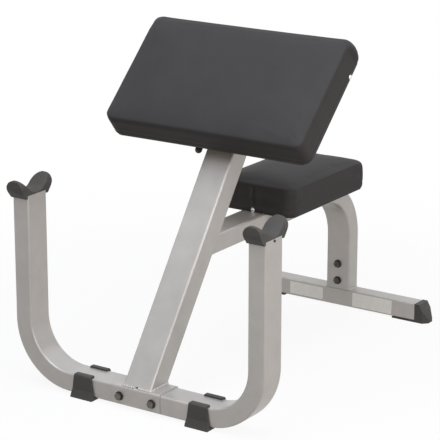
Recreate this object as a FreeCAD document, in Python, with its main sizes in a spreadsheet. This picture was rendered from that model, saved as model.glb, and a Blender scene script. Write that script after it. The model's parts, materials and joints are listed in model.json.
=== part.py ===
import FreeCAD, Part
import math
import os
import Sketcher

# A free-standing preacher curl bench, in millimetres.
# +Z is up, the front faces -Y, and the lifter sits at the back, looking towards -Y.
# The origin lies on the floor, in the middle of the bench's length and width.

SIZES = (
    ("tube_wide", 75, "frame tube, long side"),
    ("tube_thin", 50, "frame tube, short side"),
    ("tube_wall", 2, "frame tube, wall"),
    ("tube_round", 5, "frame tube, outer corner radius"),
    ("base_length", 1036.5, "front face of the front frame to the back of the rear foot"),
    ("frame_width", 765, "front frame, over both uprights"),
    ("frame_height", 509, "top of the uprights above the floor"),
    ("frame_bend", 120, "front frame, inner radius of its two bends"),
    ("floor_gap", 7.5, "front frame above the floor"),
    ("column_wide", 85, "column, across the bench"),
    ("column_deep", 63, "column, front to back of its section"),
    ("column_wall", 3, "column, wall"),
    ("column_lean", 35, "column, degrees from upright"),
    ("column_setback", 3, "column's foot behind the front face of the front frame"),
    ("column_length", 735, "column, along its front face"),
    ("drain_radius", 4, "drain notch in the column's foot"),
    ("saddle_plate", 3, "saddle, sheet thickness"),
    ("saddle_length", 148, "saddle, along the front bar"),
    ("saddle_drop", 46, "saddle, depth of its flanges"),
    ("saddle_bolt_span", 100, "saddle, distance between its bolts"),
    ("bolt_radius", 5, "frame bolts, shank radius"),
    ("bolt_flats", 17, "frame bolts, across flats"),
    ("bolt_head", 6.5, "frame bolts, head height"),
    ("bolt_spare", 4, "frame bolts, thread past the nut"),
    ("nut_tall", 8, "frame nuts, height"),
    ("washer_radius", 12, "frame washers, outer radius"),
    ("washer_thick", 2, "frame washers, thickness"),
    ("hole_clearance", 0.4, "bolt holes, radial clearance"),
    ("horn_reach", 24.5, "bar catch, horns ahead of the tube"),
    ("horn_rise", 41, "bar catch, horn tips above the tube"),
    ("horn_thick", 8, "bar catch, thickness of the horn tips"),
    ("horn_round", 4, "bar catch, rounding of the horn tips"),
    ("horn_waist", 15, "bar catch, height where the horns turn upright"),
    ("horn_sweep", 38, "bar catch, radius of the horns' outer curve"),
    ("cradle_radius", 42, "bar catch, radius of the cradle's bottom"),
    ("cradle_sink", 9, "bar catch, point of the cradle's slopes below the tube's top"),
    ("cradle_crown", 80, "bar catch, axis of the cradle's crown below the tube's top"),
    ("flap_thick", 6, "bar catch, thickness of its flaps"),
    ("flap_drop", 8, "bar catch, flaps below the tube's top"),
    ("catch_plug", 30, "bar catch, depth of its plug in the tube"),
    ("plug_clearance", 0.25, "plugs, clearance to the tube's inside"),
    ("screw_radius", 2, "catch screws, shank radius"),
    ("screw_head", 3.5, "catch screws, head radius"),
    ("screw_head_tall", 2, "catch screws, head height"),
    ("screw_length", 14, "catch screws, shank length"),
    ("screw_drop", 5, "catch screws below the tube's top"),
    ("left_clip_place", 166, "left clip foot, from the middle"),
    ("right_clip_place", 190, "right clip foot, from the middle"),
    ("clip_bottom", 70, "clip foot, width at the floor"),
    ("clip_top", 54, "clip foot, width at the top"),
    ("clip_wall", 5, "clip foot, wall"),
    ("clip_lip", 12, "clip foot, lips over the bar"),
    ("clip_flare", 8, "clip foot, spread of its sole"),
    ("clip_flare_tall", 22, "clip foot, height of the spread"),
    ("beam_top", 393.5, "seat beam, top above the floor"),
    ("beam_bend", 130, "seat beam, inner radius of its bend"),
    ("leg_bolt_low", 79.5, "lower leg bolt above the floor"),
    ("leg_bolt_span", 50, "distance between the leg bolts"),
    ("foot_side", 50, "rear foot, side of its square tube"),
    ("foot_length", 506, "rear foot, length of its tube"),
    ("foot_gap", 4.3, "rear foot above the floor"),
    ("stub_plate", 5, "leg stub, base plate thickness"),
    ("stub_tall", 105, "leg stub, height above its plate"),
    ("stub_wall", 3, "leg stub, wall"),
    ("stub_clearance", 0.5, "leg stub, clearance in the leg"),
    ("cap_reach", 39, "end cap, toe past the tube's end"),
    ("cap_shoulder", 15, "end cap, top edge past the tube's end"),
    ("cap_toe", 11, "end cap, height of its toe"),
    ("cap_facet", 14, "end cap, cut of its outer corners"),
    ("cap_plug", 30, "end cap, depth of its plug in the tube"),
    ("sole_reach", 72, "end cap, sole under the tube"),
    ("board_thick", 18, "pad boards, thickness"),
    ("board_inset", 6, "pad boards, inset from the cushion's widest line"),
    ("seat_back", 505.5, "seat's front edge ahead of the back of the rear foot"),
    ("seat_wide", 248, "seat, width"),
    ("seat_long", 389, "seat, length"),
    ("seat_tall", 80, "seat, height at its edge"),
    ("seat_crown", 9, "seat, rise of its middle"),
    ("seat_corner", 28, "seat, corner radius seen from above"),
    ("seat_round", 15, "seat, rounding of its upper edge"),
    ("seat_bolt_front", 125, "front seat bolt behind the seat's front edge"),
    ("seat_bolt_span", 150, "distance between the seat bolts"),
    ("pad_back_y", 327, "arm pad's lower back edge behind the front face of the front frame"),
    ("pad_back_z", 609.8, "arm pad's lower back edge above the floor"),
    ("pad_tilt", 44.3, "arm pad, degrees from level"),
    ("pad_wide", 609, "arm pad, width"),
    ("pad_long", 337, "arm pad, length up the slope"),
    ("pad_tall", 77, "arm pad, height at its edge"),
    ("pad_crown", 7, "arm pad, rise of its middle"),
    ("pad_corner", 26, "arm pad, corner radius"),
    ("pad_round", 15, "arm pad, rounding of its upper edge"),
    ("cushion_tuck", 3, "cushions, rounding of the lower edge"),
    ("cushion_draw", 1.5, "cushions, how far each side draws in between its corners"),
    ("bracket_long", 200, "pad brackets, length across the bench"),
    ("bracket_thin", 20, "lower pad bracket, tube along the slope"),
    ("bracket_tall", 40, "lower pad bracket, tube out of the pad's back"),
    ("bracket_low", 130, "lower pad bracket, up the slope from the pad's edge"),
    ("bracket_notch", 0.5, "lower pad bracket, clearance beside the post"),
    ("plate_thick", 5, "upper pad bracket, sheet thickness"),
    ("plate_long", 58, "upper pad bracket, flange along the pad"),
    ("plate_bolt", 35, "upper pad bracket, bolts along its flange"),
    ("pad_bolt_span", 160, "distance between the pad bolts across the bench"),
    ("small_radius", 4, "pad and seat bolts, radius"),
    ("small_depth", 14, "pad and seat bolts, reach into the board"),
    ("small_flats", 13, "pad and seat bolts, across flats"),
    ("small_head", 5.3, "pad and seat bolts, head height"),
    ("small_washer", 9, "pad and seat washers, outer radius"),
    ("small_washer_thick", 1.6, "pad and seat washers, thickness"),
    ("tee_flange", 11, "tee nuts, flange radius"),
    ("tee_flange_thick", 1.5, "tee nuts, flange thickness"),
    ("tee_barrel", 5.5, "tee nuts, barrel radius"),
    ("tee_lift", 4, "tee nuts, barrel's end above the board's outer face"),
    ("post_low", 480, "pad post, lower end along the column"),
    ("post_top", 869, "pad post, upper end along the column"),
    ("slide_clearance", 0.3, "pad post, clearance in its guides"),
    ("guide_lip", 4, "post guide, lip on the column's top"),
    ("guide_deep", 18, "post guide, sleeve inside the column"),
    ("glide_rim", 8, "post glide, rim below the post"),
    ("glide_plug", 25, "post glide, plug inside the post"),
    ("lock_place", 701, "lock lever, along the column"),
    ("lock_nut_flats", 22, "lock nut, across flats"),
    ("lock_nut_long", 14, "lock nut, length out of the column's side"),
    ("lock_radius", 5, "lock lever, rod radius"),
    ("lock_running", 0.05, "lock lever, clearance in its nut"),
    ("lock_reach", 87, "lock lever, handle out from the column's middle"),
    ("lock_bend", 14, "lock lever, bend radius of its rod"),
    ("lock_drop", 50, "lock lever, end of its rod below the screw"),
    ("grip_radius", 9.5, "lock grip, radius"),
    ("grip_top", 18, "lock grip, upper end below the screw"),
    ("grip_low", 45, "lock grip, centre of its round end below the screw"),
)

doc = FreeCAD.newDocument("preacher_curl_bench")
sheet = doc.addObject("Spreadsheet::Sheet", "sizes")
for line, (alias, number, meaning) in enumerate(SIZES, start=1):
    sheet.set("A%d" % line, meaning)
    sheet.set("B%d" % line, str(number))
    sheet.setAlias("B%d" % line, alias)
doc.recompute()

# Steps of a cushion's rounded edges and of its crown, and how far in the crown reaches
EDGE_STEPS = 4
CROWN_STEPS = 4
CROWN_SPREAD = 0.85

X_AXIS = FreeCAD.Vector(1, 0, 0)
Z_AXIS = FreeCAD.Vector(0, 0, 1)

# Places that several pieces share, as expressions on the sheet
NUT_STACK = "(sizes.washer_thick + sizes.nut_tall + sizes.bolt_spare)"
FRONT = f"((sizes.horn_reach - sizes.base_length - {NUT_STACK}) / 2)"
MIDDLE = f"({FRONT} + sizes.tube_wide / 2)"
BACK = f"({FRONT} + sizes.base_length)"
BAR_MIDDLE = "(sizes.floor_gap + sizes.tube_thin / 2)"
BAR_TOP = "(sizes.floor_gap + sizes.tube_thin)"
SADDLE_TOP = f"({BAR_TOP} + sizes.saddle_plate)"
UPRIGHT_X = "(sizes.frame_width / 2 - sizes.tube_thin / 2)"
COLUMN_Y = f"({FRONT} + sizes.column_setback)"
BEAM_MIDDLE = "(sizes.beam_top - sizes.tube_thin / 2)"
LEG_Y = f"({BACK} - sizes.tube_thin / 2)"
FOOT_TOP = "(sizes.foot_gap + sizes.foot_side)"
LEG_BOTTOM = f"({FOOT_TOP} + sizes.stub_plate)"
SEAT_Y = f"({BACK} - sizes.seat_back)"
PAD_Y = f"({FRONT} + sizes.pad_back_y)"
BOLT_HOLE = "(sizes.bolt_radius + sizes.hole_clearance)"
SMALL_HOLE = "(sizes.small_radius + sizes.hole_clearance)"

# The column's axis at its foot, and the screw of the lock lever
AXIS_Y = f"({COLUMN_Y} + sizes.column_deep / 2 * cos(sizes.column_lean))"
AXIS_Z = f"({SADDLE_TOP} - sizes.column_deep / 2 * sin(sizes.column_lean))"
LOCK_Y = f"({AXIS_Y} + sizes.lock_place * sin(sizes.column_lean))"
LOCK_Z = f"({AXIS_Z} + sizes.lock_place * cos(sizes.column_lean))"

# The post's front face seen in the arm pad's own frame: along the slope, and out of its back
COLUMN_RISE = "(90 - sizes.column_lean - sizes.pad_tilt)"
OFF_Y = f"({COLUMN_Y} - {PAD_Y})"
OFF_Z = f"({SADDLE_TOP} - sizes.pad_back_z)"
COLUMN_U = f"({OFF_Y} * cos(sizes.pad_tilt) + {OFF_Z} * sin(sizes.pad_tilt))"
COLUMN_V = f"({OFF_Z} * cos(sizes.pad_tilt) - {OFF_Y} * sin(sizes.pad_tilt))"
POST_INSET = "((sizes.column_deep - sizes.tube_thin) / 2)"
POST_U = f"({COLUMN_U} + {POST_INSET} * sin({COLUMN_RISE}))"
POST_V = f"({COLUMN_V} - {POST_INSET} * cos({COLUMN_RISE}))"
TOP_U = f"({POST_U} + sizes.post_top * cos({COLUMN_RISE}))"
TOP_V = f"({POST_V} + sizes.post_top * sin({COLUMN_RISE}))"
BRACKET_U = "(sizes.bracket_low + sizes.bracket_thin / 2)"
PLATE_U = f"({TOP_U} + {TOP_V} * tan({COLUMN_RISE}))"
PLATE_BOLT_U = f"({PLATE_U} + sizes.plate_bolt)"


def value(text):
    return float(sheet.evalExpression(text))


def vector(across, up):
    return FreeCAD.Vector(value(across), value(up), 0)


def bind_place(piece, across, along, up, axis=X_AXIS, angle="0"):
    """Put a piece at a bound place, turned about an axis by a bound angle."""
    turn = FreeCAD.Rotation(axis, value(angle))
    piece.Placement = FreeCAD.Placement(FreeCAD.Vector(value(across), value(along), value(up)), turn)
    piece.setExpression("Placement.Base.x", across)
    piece.setExpression("Placement.Base.y", along)
    piece.setExpression("Placement.Base.z", up)
    if angle != "0":
        piece.setExpression("Placement.Rotation.Angle", angle)
    return piece


def new_body(label):
    body = doc.addObject("PartDesign::Body", label)
    body.Label = label
    return body


def new_sketch(body, role, offset=("0", "0", "0")):
    """A sketch on one of the body's own planes, shifted by a bound offset."""
    sketch = body.newObject("Sketcher::SketchObject", body.Name + "_sketch")
    plane = [item for item in body.Origin.OriginFeatures if item.Role == role][0]
    sketch.AttachmentSupport = (plane, [""])
    sketch.MapMode = "FlatFace"
    for letter, text in zip("xyz", offset):
        if text != "0":
            sketch.setExpression("AttachmentOffset.Base." + letter, text)
    return sketch


def dimension(sketch, constraint, text):
    index = sketch.addConstraint(constraint)
    name = "size_%d" % index
    sketch.renameConstraint(index, name)
    sketch.setExpression("Constraints." + name, text)


def pin_point(sketch, item, position, across, up):
    dimension(sketch, Sketcher.Constraint("DistanceX", -1, 1, item, position, value(across)), across)
    dimension(sketch, Sketcher.Constraint("DistanceY", -1, 1, item, position, value(up)), up)


def corner_round(before, corner, after, radius):
    """Start, end and centre of the arc that rounds a corner, and whether it turns left."""
    back = (before - corner).normalize()
    onward = (after - corner).normalize()
    half = back.getAngle(onward) / 2
    start = corner + back * (radius / math.tan(half))
    end = corner + onward * (radius / math.tan(half))
    centre = corner + (back + onward).normalize() * (radius / math.sin(half))
    left = (corner - before).cross(after - corner).z > 0
    return start, end, centre, left


def add_arc(sketch, start, end, centre, left, radius):
    first, last = (start, end) if left else (end, start)
    circle = Part.Circle(centre, Z_AXIS, radius)
    angles = [math.atan2(point.y - centre.y, point.x - centre.x) for point in (first, last)]
    return sketch.addGeometry(Part.ArcOfCircle(circle, angles[0], angles[1]))


def trace(sketch, corners, closed=True):
    """Lines through corners given as (across, up, radius), each corner held by its own dimensions."""
    points = [vector(across, up) for across, up, radius in corners]
    count = len(corners)
    rounds = {}
    for index, (across, up, radius) in enumerate(corners):
        if radius:
            after = points[(index + 1) % count]
            rounds[index] = corner_round(points[index - 1], points[index], after, value(radius))
    lines = {}
    for index in range(count if closed else count - 1):
        after = (index + 1) % count
        start = rounds[index][1] if index in rounds else points[index]
        end = rounds[after][0] if after in rounds else points[after]
        lines[index] = sketch.addGeometry(Part.LineSegment(start, end))
    for index, (across, up, radius) in enumerate(corners):
        corner = sketch.addGeometry(Part.Point(points[index]), True)
        pin_point(sketch, corner, 1, across, up)
        before = lines.get(index - 1 if index else count - 1)
        after = lines.get(index)
        if not radius:
            if before is not None:
                sketch.addConstraint(Sketcher.Constraint("Coincident", before, 2, corner, 1))
            if after is not None:
                sketch.addConstraint(Sketcher.Constraint("Coincident", after, 1, corner, 1))
            continue
        start, end, centre, left = rounds[index]
        arc = add_arc(sketch, start, end, centre, left, value(radius))
        arc_in, arc_out = (1, 2) if left else (2, 1)
        sketch.addConstraint(Sketcher.Constraint("PointOnObject", corner, 1, before))
        sketch.addConstraint(Sketcher.Constraint("PointOnObject", corner, 1, after))
        sketch.addConstraint(Sketcher.Constraint("Tangent", before, 2, arc, arc_in))
        sketch.addConstraint(Sketcher.Constraint("Tangent", arc, arc_out, after, 1))
        dimension(sketch, Sketcher.Constraint("Radius", arc, value(radius)), radius)


def trace_rectangle(sketch, half_wide, half_tall, radius=None):
    trace(sketch, (
        (f"-({half_wide})", f"-({half_tall})", radius),
        (half_wide, f"-({half_tall})", radius),
        (half_wide, half_tall, radius),
        (f"-({half_wide})", half_tall, radius),
    ))


def trace_tube(sketch, wide, tall, wall, radius):
    """The section of a rounded rectangular tube about the sketch's origin."""
    trace_rectangle(sketch, f"{wide} / 2", f"{tall} / 2", radius)
    trace_rectangle(sketch, f"{wide} / 2 - {wall}", f"{tall} / 2 - {wall}", f"{radius} - {wall}")


def trace_circle(sketch, across, up, radius):
    circle = sketch.addGeometry(Part.Circle(vector(across, up), Z_AXIS, value(radius)))
    pin_point(sketch, circle, 3, across, up)
    dimension(sketch, Sketcher.Constraint("Radius", circle, value(radius)), radius)


def pad(body, sketch, length, side="Symmetric", reverse=False):
    feature = body.newObject("PartDesign::Pad", body.Name + "_pad")
    feature.Profile = sketch
    feature.setExpression("Length", length)
    feature.SideType = side
    feature.Reversed = reverse
    doc.recompute()
    return feature


def pocket(body, sketch, length, side="Symmetric"):
    """Cut a sketch out of a body, and stop if the cut misses the solid."""
    before = body.Shape.Volume
    feature = body.newObject("PartDesign::Pocket", body.Name + "_pocket")
    feature.Profile = sketch
    feature.setExpression("Length", length)
    feature.SideType = side
    doc.recompute()
    if not body.Shape.Volume < before:
        raise RuntimeError(feature.Name + " cuts nothing")
    return feature


def groove(body, sketch):
    """Turn a sketch about its own level axis and cut it out of a body."""
    before = body.Shape.Volume
    feature = body.newObject("PartDesign::Groove", body.Name + "_groove")
    feature.Profile = sketch
    feature.ReferenceAxis = (sketch, ["H_Axis"])
    feature.Angle = 360
    doc.recompute()
    if not body.Shape.Volume < before:
        raise RuntimeError(feature.Name + " cuts nothing")
    return feature


def sweep(body, profile, spine):
    feature = body.newObject("PartDesign::AdditivePipe", body.Name + "_pipe")
    feature.Profile = profile
    feature.Spine = (spine, [])
    doc.recompute()
    return feature


def round_edges(body, base, radius, wanted):
    """Fillet the edges of a feature that a test picks."""
    names = ["Edge%d" % (i + 1) for i, edge in enumerate(base.Shape.Edges) if wanted(edge)]
    feature = body.newObject("PartDesign::Fillet", body.Name + "_fillet")
    feature.Base = (base, names)
    feature.setExpression("Radius", radius)
    doc.recompute()
    return feature


def runs_along(direction):
    """A test for straight edges that run along a direction."""
    def wanted(edge):
        if not isinstance(edge.Curve, Part.Line):
            return False
        return abs(edge.tangentAt(edge.FirstParameter).dot(direction)) > 0.999
    return wanted


def cylinder(name, radius, height, across="0", along="0", up="0"):
    piece = doc.addObject("Part::Cylinder", name)
    piece.setExpression("Radius", radius)
    piece.setExpression("Height", height)
    return bind_place(piece, across, along, up)


def hexagon(name, flats, height, across, along, up):
    piece = doc.addObject("Part::Prism", name)
    piece.Polygon = 6
    piece.setExpression("Circumradius", f"{flats} / 2 / cos(30)")
    piece.setExpression("Height", height)
    return bind_place(piece, across, along, up)


def fuse(name, *shapes):
    piece = doc.addObject("Part::MultiFuse", name)
    piece.Shapes = list(shapes)
    return piece


def cut(name, base, tool):
    piece = doc.addObject("Part::Cut", name)
    piece.Base = base
    piece.Tool = tool
    return piece


def group(label, members):
    """One node of separate solids."""
    piece = doc.addObject("Part::Compound", label)
    piece.Label = label
    piece.Links = members
    return piece


def hex_bolts(label, places, radius, length, flats, head):
    """Hexagon bolts along local Z, with the underside of each head at its place."""
    members = []
    for across, along, up in places:
        shank = cylinder(label + "_shank", radius, length, across, along, up)
        top = hexagon(label + "_head", flats, head, across, along, f"{up} - {head}")
        members.append(fuse(label + "_bolt", shank, top))
    return group(label, members)


def rings(label, places, outer, inner, height):
    """Washers along local Z, each on its place."""
    members = []
    for across, along, up in places:
        disc = cylinder(label + "_disc", outer, height, across, along, up)
        bore = cylinder(label + "_bore", inner, height, across, along, up)
        members.append(cut(label + "_ring", disc, bore))
    return group(label, members)


def hex_nuts(label, places, flats, inner, height):
    members = []
    for across, along, up in places:
        block = hexagon(label + "_block", flats, height, across, along, up)
        bore = cylinder(label + "_bore", inner, height, across, along, up)
        members.append(cut(label + "_nut", block, bore))
    return group(label, members)


def make_front_frame():
    """One tube bent twice: two uprights and the bar between them."""
    body = new_body("front_frame")
    bend = "(sizes.frame_bend + sizes.tube_thin / 2)"
    spine = new_sketch(body, "XZ_Plane")
    trace(spine, (
        (f"-{UPRIGHT_X}", "sizes.frame_height", None),
        (f"-{UPRIGHT_X}", BAR_MIDDLE, bend),
        (UPRIGHT_X, BAR_MIDDLE, bend),
        (UPRIGHT_X, "sizes.frame_height", None),
    ), closed=False)
    profile = new_sketch(body, "XY_Plane", (f"-{UPRIGHT_X}", "0", "sizes.frame_height"))
    trace_tube(profile, "sizes.tube_thin", "sizes.tube_wide", "sizes.tube_wall", "sizes.tube_round")
    sweep(body, profile, spine)
    holes = new_sketch(body, "XZ_Plane")
    for side in ("-", ""):
        trace_circle(holes, side + "sizes.saddle_bolt_span / 2", BAR_MIDDLE, BOLT_HOLE)
    pocket(body, holes, "sizes.tube_wide * 2")
    for side in ("-", ""):
        outer_wall = f"{side}(sizes.frame_width / 2)"
        screw_hole = new_sketch(body, "YZ_Plane", ("0", "0", outer_wall))
        trace_circle(screw_hole, "0", "sizes.frame_height - sizes.screw_drop",
                     "sizes.screw_radius + sizes.hole_clearance")
        pocket(body, screw_hole, "sizes.tube_wall * 4")
    return bind_place(body, "0", MIDDLE, "0")


def make_column():
    """A leaning tube, cut level at its foot and square at its top."""
    body = new_body("column")
    sine, cosine = "sin(sizes.column_lean)", "cos(sizes.column_lean)"

    def on_column(along, inward):
        across = f"{COLUMN_Y} + ({along}) * {sine} + ({inward}) * {cosine}"
        return across, f"{SADDLE_TOP} + ({along}) * {cosine} - ({inward}) * {sine}", None

    side = new_sketch(body, "YZ_Plane")
    trace(side, (
        (COLUMN_Y, SADDLE_TOP, None),
        (f"{COLUMN_Y} + sizes.column_deep / {cosine}", SADDLE_TOP, None),
        on_column("sizes.column_length", "sizes.column_deep"),
        on_column("sizes.column_length", "0"),
    ))
    block = pad(body, side, "sizes.column_wide")
    lean = math.radians(value("sizes.column_lean"))
    along_column = FreeCAD.Vector(0, math.sin(lean), math.cos(lean))
    round_edges(body, block, "sizes.tube_round", runs_along(along_column))
    inside = new_sketch(body, "YZ_Plane")
    far_wall = "sizes.column_deep - sizes.column_wall"
    past_top = "sizes.column_length + sizes.column_deep"
    trace(inside, (
        on_column("-sizes.column_deep", "sizes.column_wall"),
        on_column("-sizes.column_deep", far_wall),
        on_column(past_top, far_wall),
        on_column(past_top, "sizes.column_wall"),
    ))
    pocket(body, inside, "sizes.column_wide - 2 * sizes.column_wall")
    drain = new_sketch(body, "XZ_Plane", ("0", "0", f"-({COLUMN_Y})"))
    trace_circle(drain, "0", SADDLE_TOP, "sizes.drain_radius")
    pocket(body, drain, "sizes.column_deep / 2")
    lock_hole = new_sketch(body, "YZ_Plane", ("0", "0", "-sizes.column_wide / 2"))
    trace_circle(lock_hole, LOCK_Y, LOCK_Z, "sizes.lock_radius + sizes.hole_clearance")
    pocket(body, lock_hole, "sizes.column_wall * 4")
    return body


def make_column_saddle():
    """A folded channel that sits over the front bar and carries the column."""
    body = new_body("column_saddle")
    inner, outer = "sizes.tube_wide / 2", "sizes.tube_wide / 2 + sizes.saddle_plate"
    hem = f"{BAR_TOP} - sizes.saddle_drop"
    outer_fold, inner_fold = "sizes.saddle_plate * 2", "sizes.saddle_plate"
    section = new_sketch(body, "YZ_Plane")
    trace(section, (
        (f"-({outer})", hem, None),
        (f"-({inner})", hem, None),
        (f"-({inner})", BAR_TOP, inner_fold),
        (inner, BAR_TOP, inner_fold),
        (inner, hem, None),
        (outer, hem, None),
        (outer, SADDLE_TOP, outer_fold),
        (f"-({outer})", SADDLE_TOP, outer_fold),
    ))
    pad(body, section, "sizes.saddle_length")
    holes = new_sketch(body, "XZ_Plane")
    for side in ("-", ""):
        trace_circle(holes, side + "sizes.saddle_bolt_span / 2", BAR_MIDDLE, BOLT_HOLE)
    pocket(body, holes, "sizes.tube_wide * 2")
    return bind_place(body, "0", MIDDLE, "0")


def make_through_bolts(name, places, near, grip):
    """Bolts pushed in from the front through a stack, with washers at both ends and nuts behind."""
    washer = "sizes.washer_thick"
    starts = [(across, along, "0") for across, along in places]
    seats = [(across, along, f"{washer} + {grip}") for across, along in places]
    nut_seats = [(across, along, f"2 * {washer} + {grip}") for across, along in places]
    length = f"{washer} + {grip} + {NUT_STACK}"
    pieces = [
        hex_bolts(name + "_bolts", starts, "sizes.bolt_radius", length, "sizes.bolt_flats",
                  "sizes.bolt_head"),
        rings(name + "_washers", starts + seats, "sizes.washer_radius", BOLT_HOLE, washer),
        hex_nuts(name + "_nuts", nut_seats, "sizes.bolt_flats", "sizes.bolt_radius", "sizes.nut_tall"),
    ]
    for piece in pieces:
        bind_place(piece, "0", f"{near} - {washer}", "0", X_AXIS, "-90")
    return pieces


def make_bar_catch(side, name):
    """A moulded rubber cradle with a tongue at the front and the back, plugged into an upright."""
    body = new_body(name)
    half, flap = "sizes.tube_wide / 2", "(sizes.tube_wide / 2 + sizes.flap_thick)"
    tip = "(sizes.tube_wide / 2 + sizes.horn_reach)"
    profile = new_sketch(body, "YZ_Plane")
    trace(profile, (
        (f"-{flap}", "-sizes.flap_drop", None),
        (f"-({half})", "-sizes.flap_drop", None),
        (f"-({half})", "0", None),
        (half, "0", None),
        (half, "-sizes.flap_drop", None),
        (flap, "-sizes.flap_drop", None),
        (tip, "sizes.horn_waist", "sizes.horn_sweep"),
        (tip, "sizes.horn_rise", "sizes.horn_round"),
        (f"-{tip}", "sizes.horn_rise", "sizes.horn_round"),
        (f"-{tip}", "sizes.horn_waist", "sizes.horn_sweep"),
    ))
    pad(body, profile, "sizes.tube_thin")
    cut_cradle(body, f"({tip} - sizes.horn_thick)")
    trim = new_sketch(body, "XZ_Plane")
    trace_rectangle(trim, "sizes.tube_thin", "sizes.horn_rise * 2")
    tongue = "sizes.tube_thin / 2"
    tongue_round = "sizes.tube_thin / 2 - sizes.hole_clearance"
    trace(trim, (
        (f"-{tongue}", "-sizes.horn_rise", None),
        (tongue, "-sizes.horn_rise", None),
        (tongue, "sizes.horn_rise", tongue_round),
        (f"-{tongue}", "sizes.horn_rise", tongue_round),
    ))
    pocket(body, trim, "sizes.tube_wide * 4")
    plug = new_sketch(body, "XY_Plane")
    inside = "- sizes.tube_wall - sizes.plug_clearance"
    trace_rectangle(plug, f"sizes.tube_thin / 2 {inside}", f"sizes.tube_wide / 2 {inside}",
                    "sizes.tube_round")
    pad(body, plug, "sizes.catch_plug", "One side", True)
    pilot = new_sketch(body, "YZ_Plane", ("0", "0", f"{side}sizes.tube_thin / 2"))
    trace_circle(pilot, "0", "-sizes.screw_drop", "sizes.screw_radius")
    pocket(body, pilot, "2 * (sizes.screw_length + sizes.hole_clearance)")
    return bind_place(body, side + UPRIGHT_X, MIDDLE, "sizes.frame_height")


def cut_cradle(body, inner_tip):
    """Hollow a catch for the bar, with a cradle that falls away to both of its ends."""
    cradle = new_sketch(body, "YZ_Plane", ("0", "-sizes.cradle_crown", "0"))
    opening = f"({inner_tip} * (2 * sizes.horn_rise + sizes.cradle_sink) / (sizes.horn_rise + sizes.cradle_sink))"
    brim = "sizes.cradle_crown + 2 * sizes.horn_rise"
    trace(cradle, (
        ("0", "sizes.cradle_crown - sizes.cradle_sink", "sizes.cradle_radius"),
        (opening, brim, None),
        (f"-{opening}", brim, None),
    ))
    groove(body, cradle)


def make_catch_screws():
    """A pan-head screw through the outer wall of each upright into the catch's plug."""
    members = []
    for side, angle in (("-", "90"), ("", "-90")):
        shank = cylinder("catch_screw_shank", "sizes.screw_radius", "sizes.screw_length")
        head = cylinder("catch_screw_head", "sizes.screw_head", "sizes.screw_head_tall",
                        up="-sizes.screw_head_tall")
        screw = fuse("catch_screw", shank, head)
        members.append(bind_place(screw, f"{side}(sizes.frame_width / 2)", MIDDLE,
                                  "sizes.frame_height - sizes.screw_drop",
                                  FreeCAD.Vector(0, 1, 0), angle))
    return group("catch_screws", members)


def make_clip_foot(side, name, place):
    """A rubber foot that clips round the front bar, with a sole that spreads at the floor."""
    body = new_body(name)
    bar, wall = "sizes.tube_wide / 2", "(sizes.tube_wide / 2 + sizes.clip_wall)"
    toe = "(sizes.tube_wide / 2 + sizes.clip_wall + sizes.clip_flare)"
    lip = "(sizes.tube_wide / 2 - sizes.clip_lip)"
    top = f"{BAR_TOP} + sizes.clip_wall"
    section = new_sketch(body, "YZ_Plane")
    right_half = (
        (toe, "0", None),
        (wall, "sizes.clip_flare_tall", None),
        (wall, top, "sizes.clip_wall"),
        (lip, top, None),
        (lip, BAR_TOP, None),
        (bar, BAR_TOP, None),
        (bar, "sizes.floor_gap", None),
    )
    left_half = tuple((f"-({y})", z, radius) for y, z, radius in reversed(right_half))
    trace(section, right_half + left_half)
    pad(body, section, "sizes.clip_bottom")
    trim = new_sketch(body, "XZ_Plane")
    trace_rectangle(trim, "sizes.clip_bottom", "sizes.beam_top")
    trace(trim, (
        ("-sizes.clip_bottom / 2", "-sizes.floor_gap", None),
        ("sizes.clip_bottom / 2", "-sizes.floor_gap", None),
        ("sizes.clip_bottom / 2", "sizes.floor_gap", None),
        ("sizes.clip_top / 2", top, None),
        ("-sizes.clip_top / 2", top, None),
        ("-sizes.clip_bottom / 2", "sizes.floor_gap", None),
    ))
    pocket(body, trim, "sizes.tube_wide * 3")
    return bind_place(body, side + place, MIDDLE, "0")


def make_seat_beam():
    """A tube from the column to the rear foot, bent down into the rear leg."""
    body = new_body("seat_beam")
    cosine, slope = "cos(sizes.column_lean)", "tan(sizes.column_lean)"

    def column_back(up):
        return f"({COLUMN_Y} + (({up}) - {SADDLE_TOP}) * {slope} + sizes.column_deep / {cosine})"

    start = column_back(f"{BEAM_MIDDLE} - sizes.tube_wide")
    spine = new_sketch(body, "YZ_Plane")
    trace(spine, (
        (start, BEAM_MIDDLE, None),
        (LEG_Y, BEAM_MIDDLE, "(sizes.beam_bend + sizes.tube_thin / 2)"),
        (LEG_Y, LEG_BOTTOM, None),
    ), closed=False)
    profile = new_sketch(body, "XZ_Plane", ("0", BEAM_MIDDLE, f"-{start}"))
    trace_tube(profile, "sizes.tube_wide", "sizes.tube_thin", "sizes.tube_wall", "sizes.tube_round")
    sweep(body, profile, spine)
    low, high = f"({BEAM_MIDDLE} - sizes.tube_thin)", f"({BEAM_MIDDLE} + sizes.tube_thin)"
    mitre = new_sketch(body, "YZ_Plane")
    trace(mitre, (
        (column_back(low), low, None),
        (column_back(high), high, None),
        (f"{start} - sizes.tube_wide", high, None),
        (f"{start} - sizes.tube_wide", low, None),
    ))
    pocket(body, mitre, "sizes.tube_wide * 2")
    seat_holes = new_sketch(body, "XY_Plane")
    for along in seat_bolt_places():
        trace_circle(seat_holes, "0", f"{SEAT_Y} + {along}", SMALL_HOLE)
    pocket(body, seat_holes, "sizes.beam_top * 3")
    leg_holes = new_sketch(body, "XZ_Plane")
    for up in leg_bolt_places():
        trace_circle(leg_holes, "0", up, BOLT_HOLE)
    pocket(body, leg_holes, "sizes.base_length * 2")
    return body


def seat_bolt_places():
    return "sizes.seat_bolt_front", "(sizes.seat_bolt_front + sizes.seat_bolt_span)"


def leg_bolt_places():
    return "sizes.leg_bolt_low", "(sizes.leg_bolt_low + sizes.leg_bolt_span)"


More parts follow.
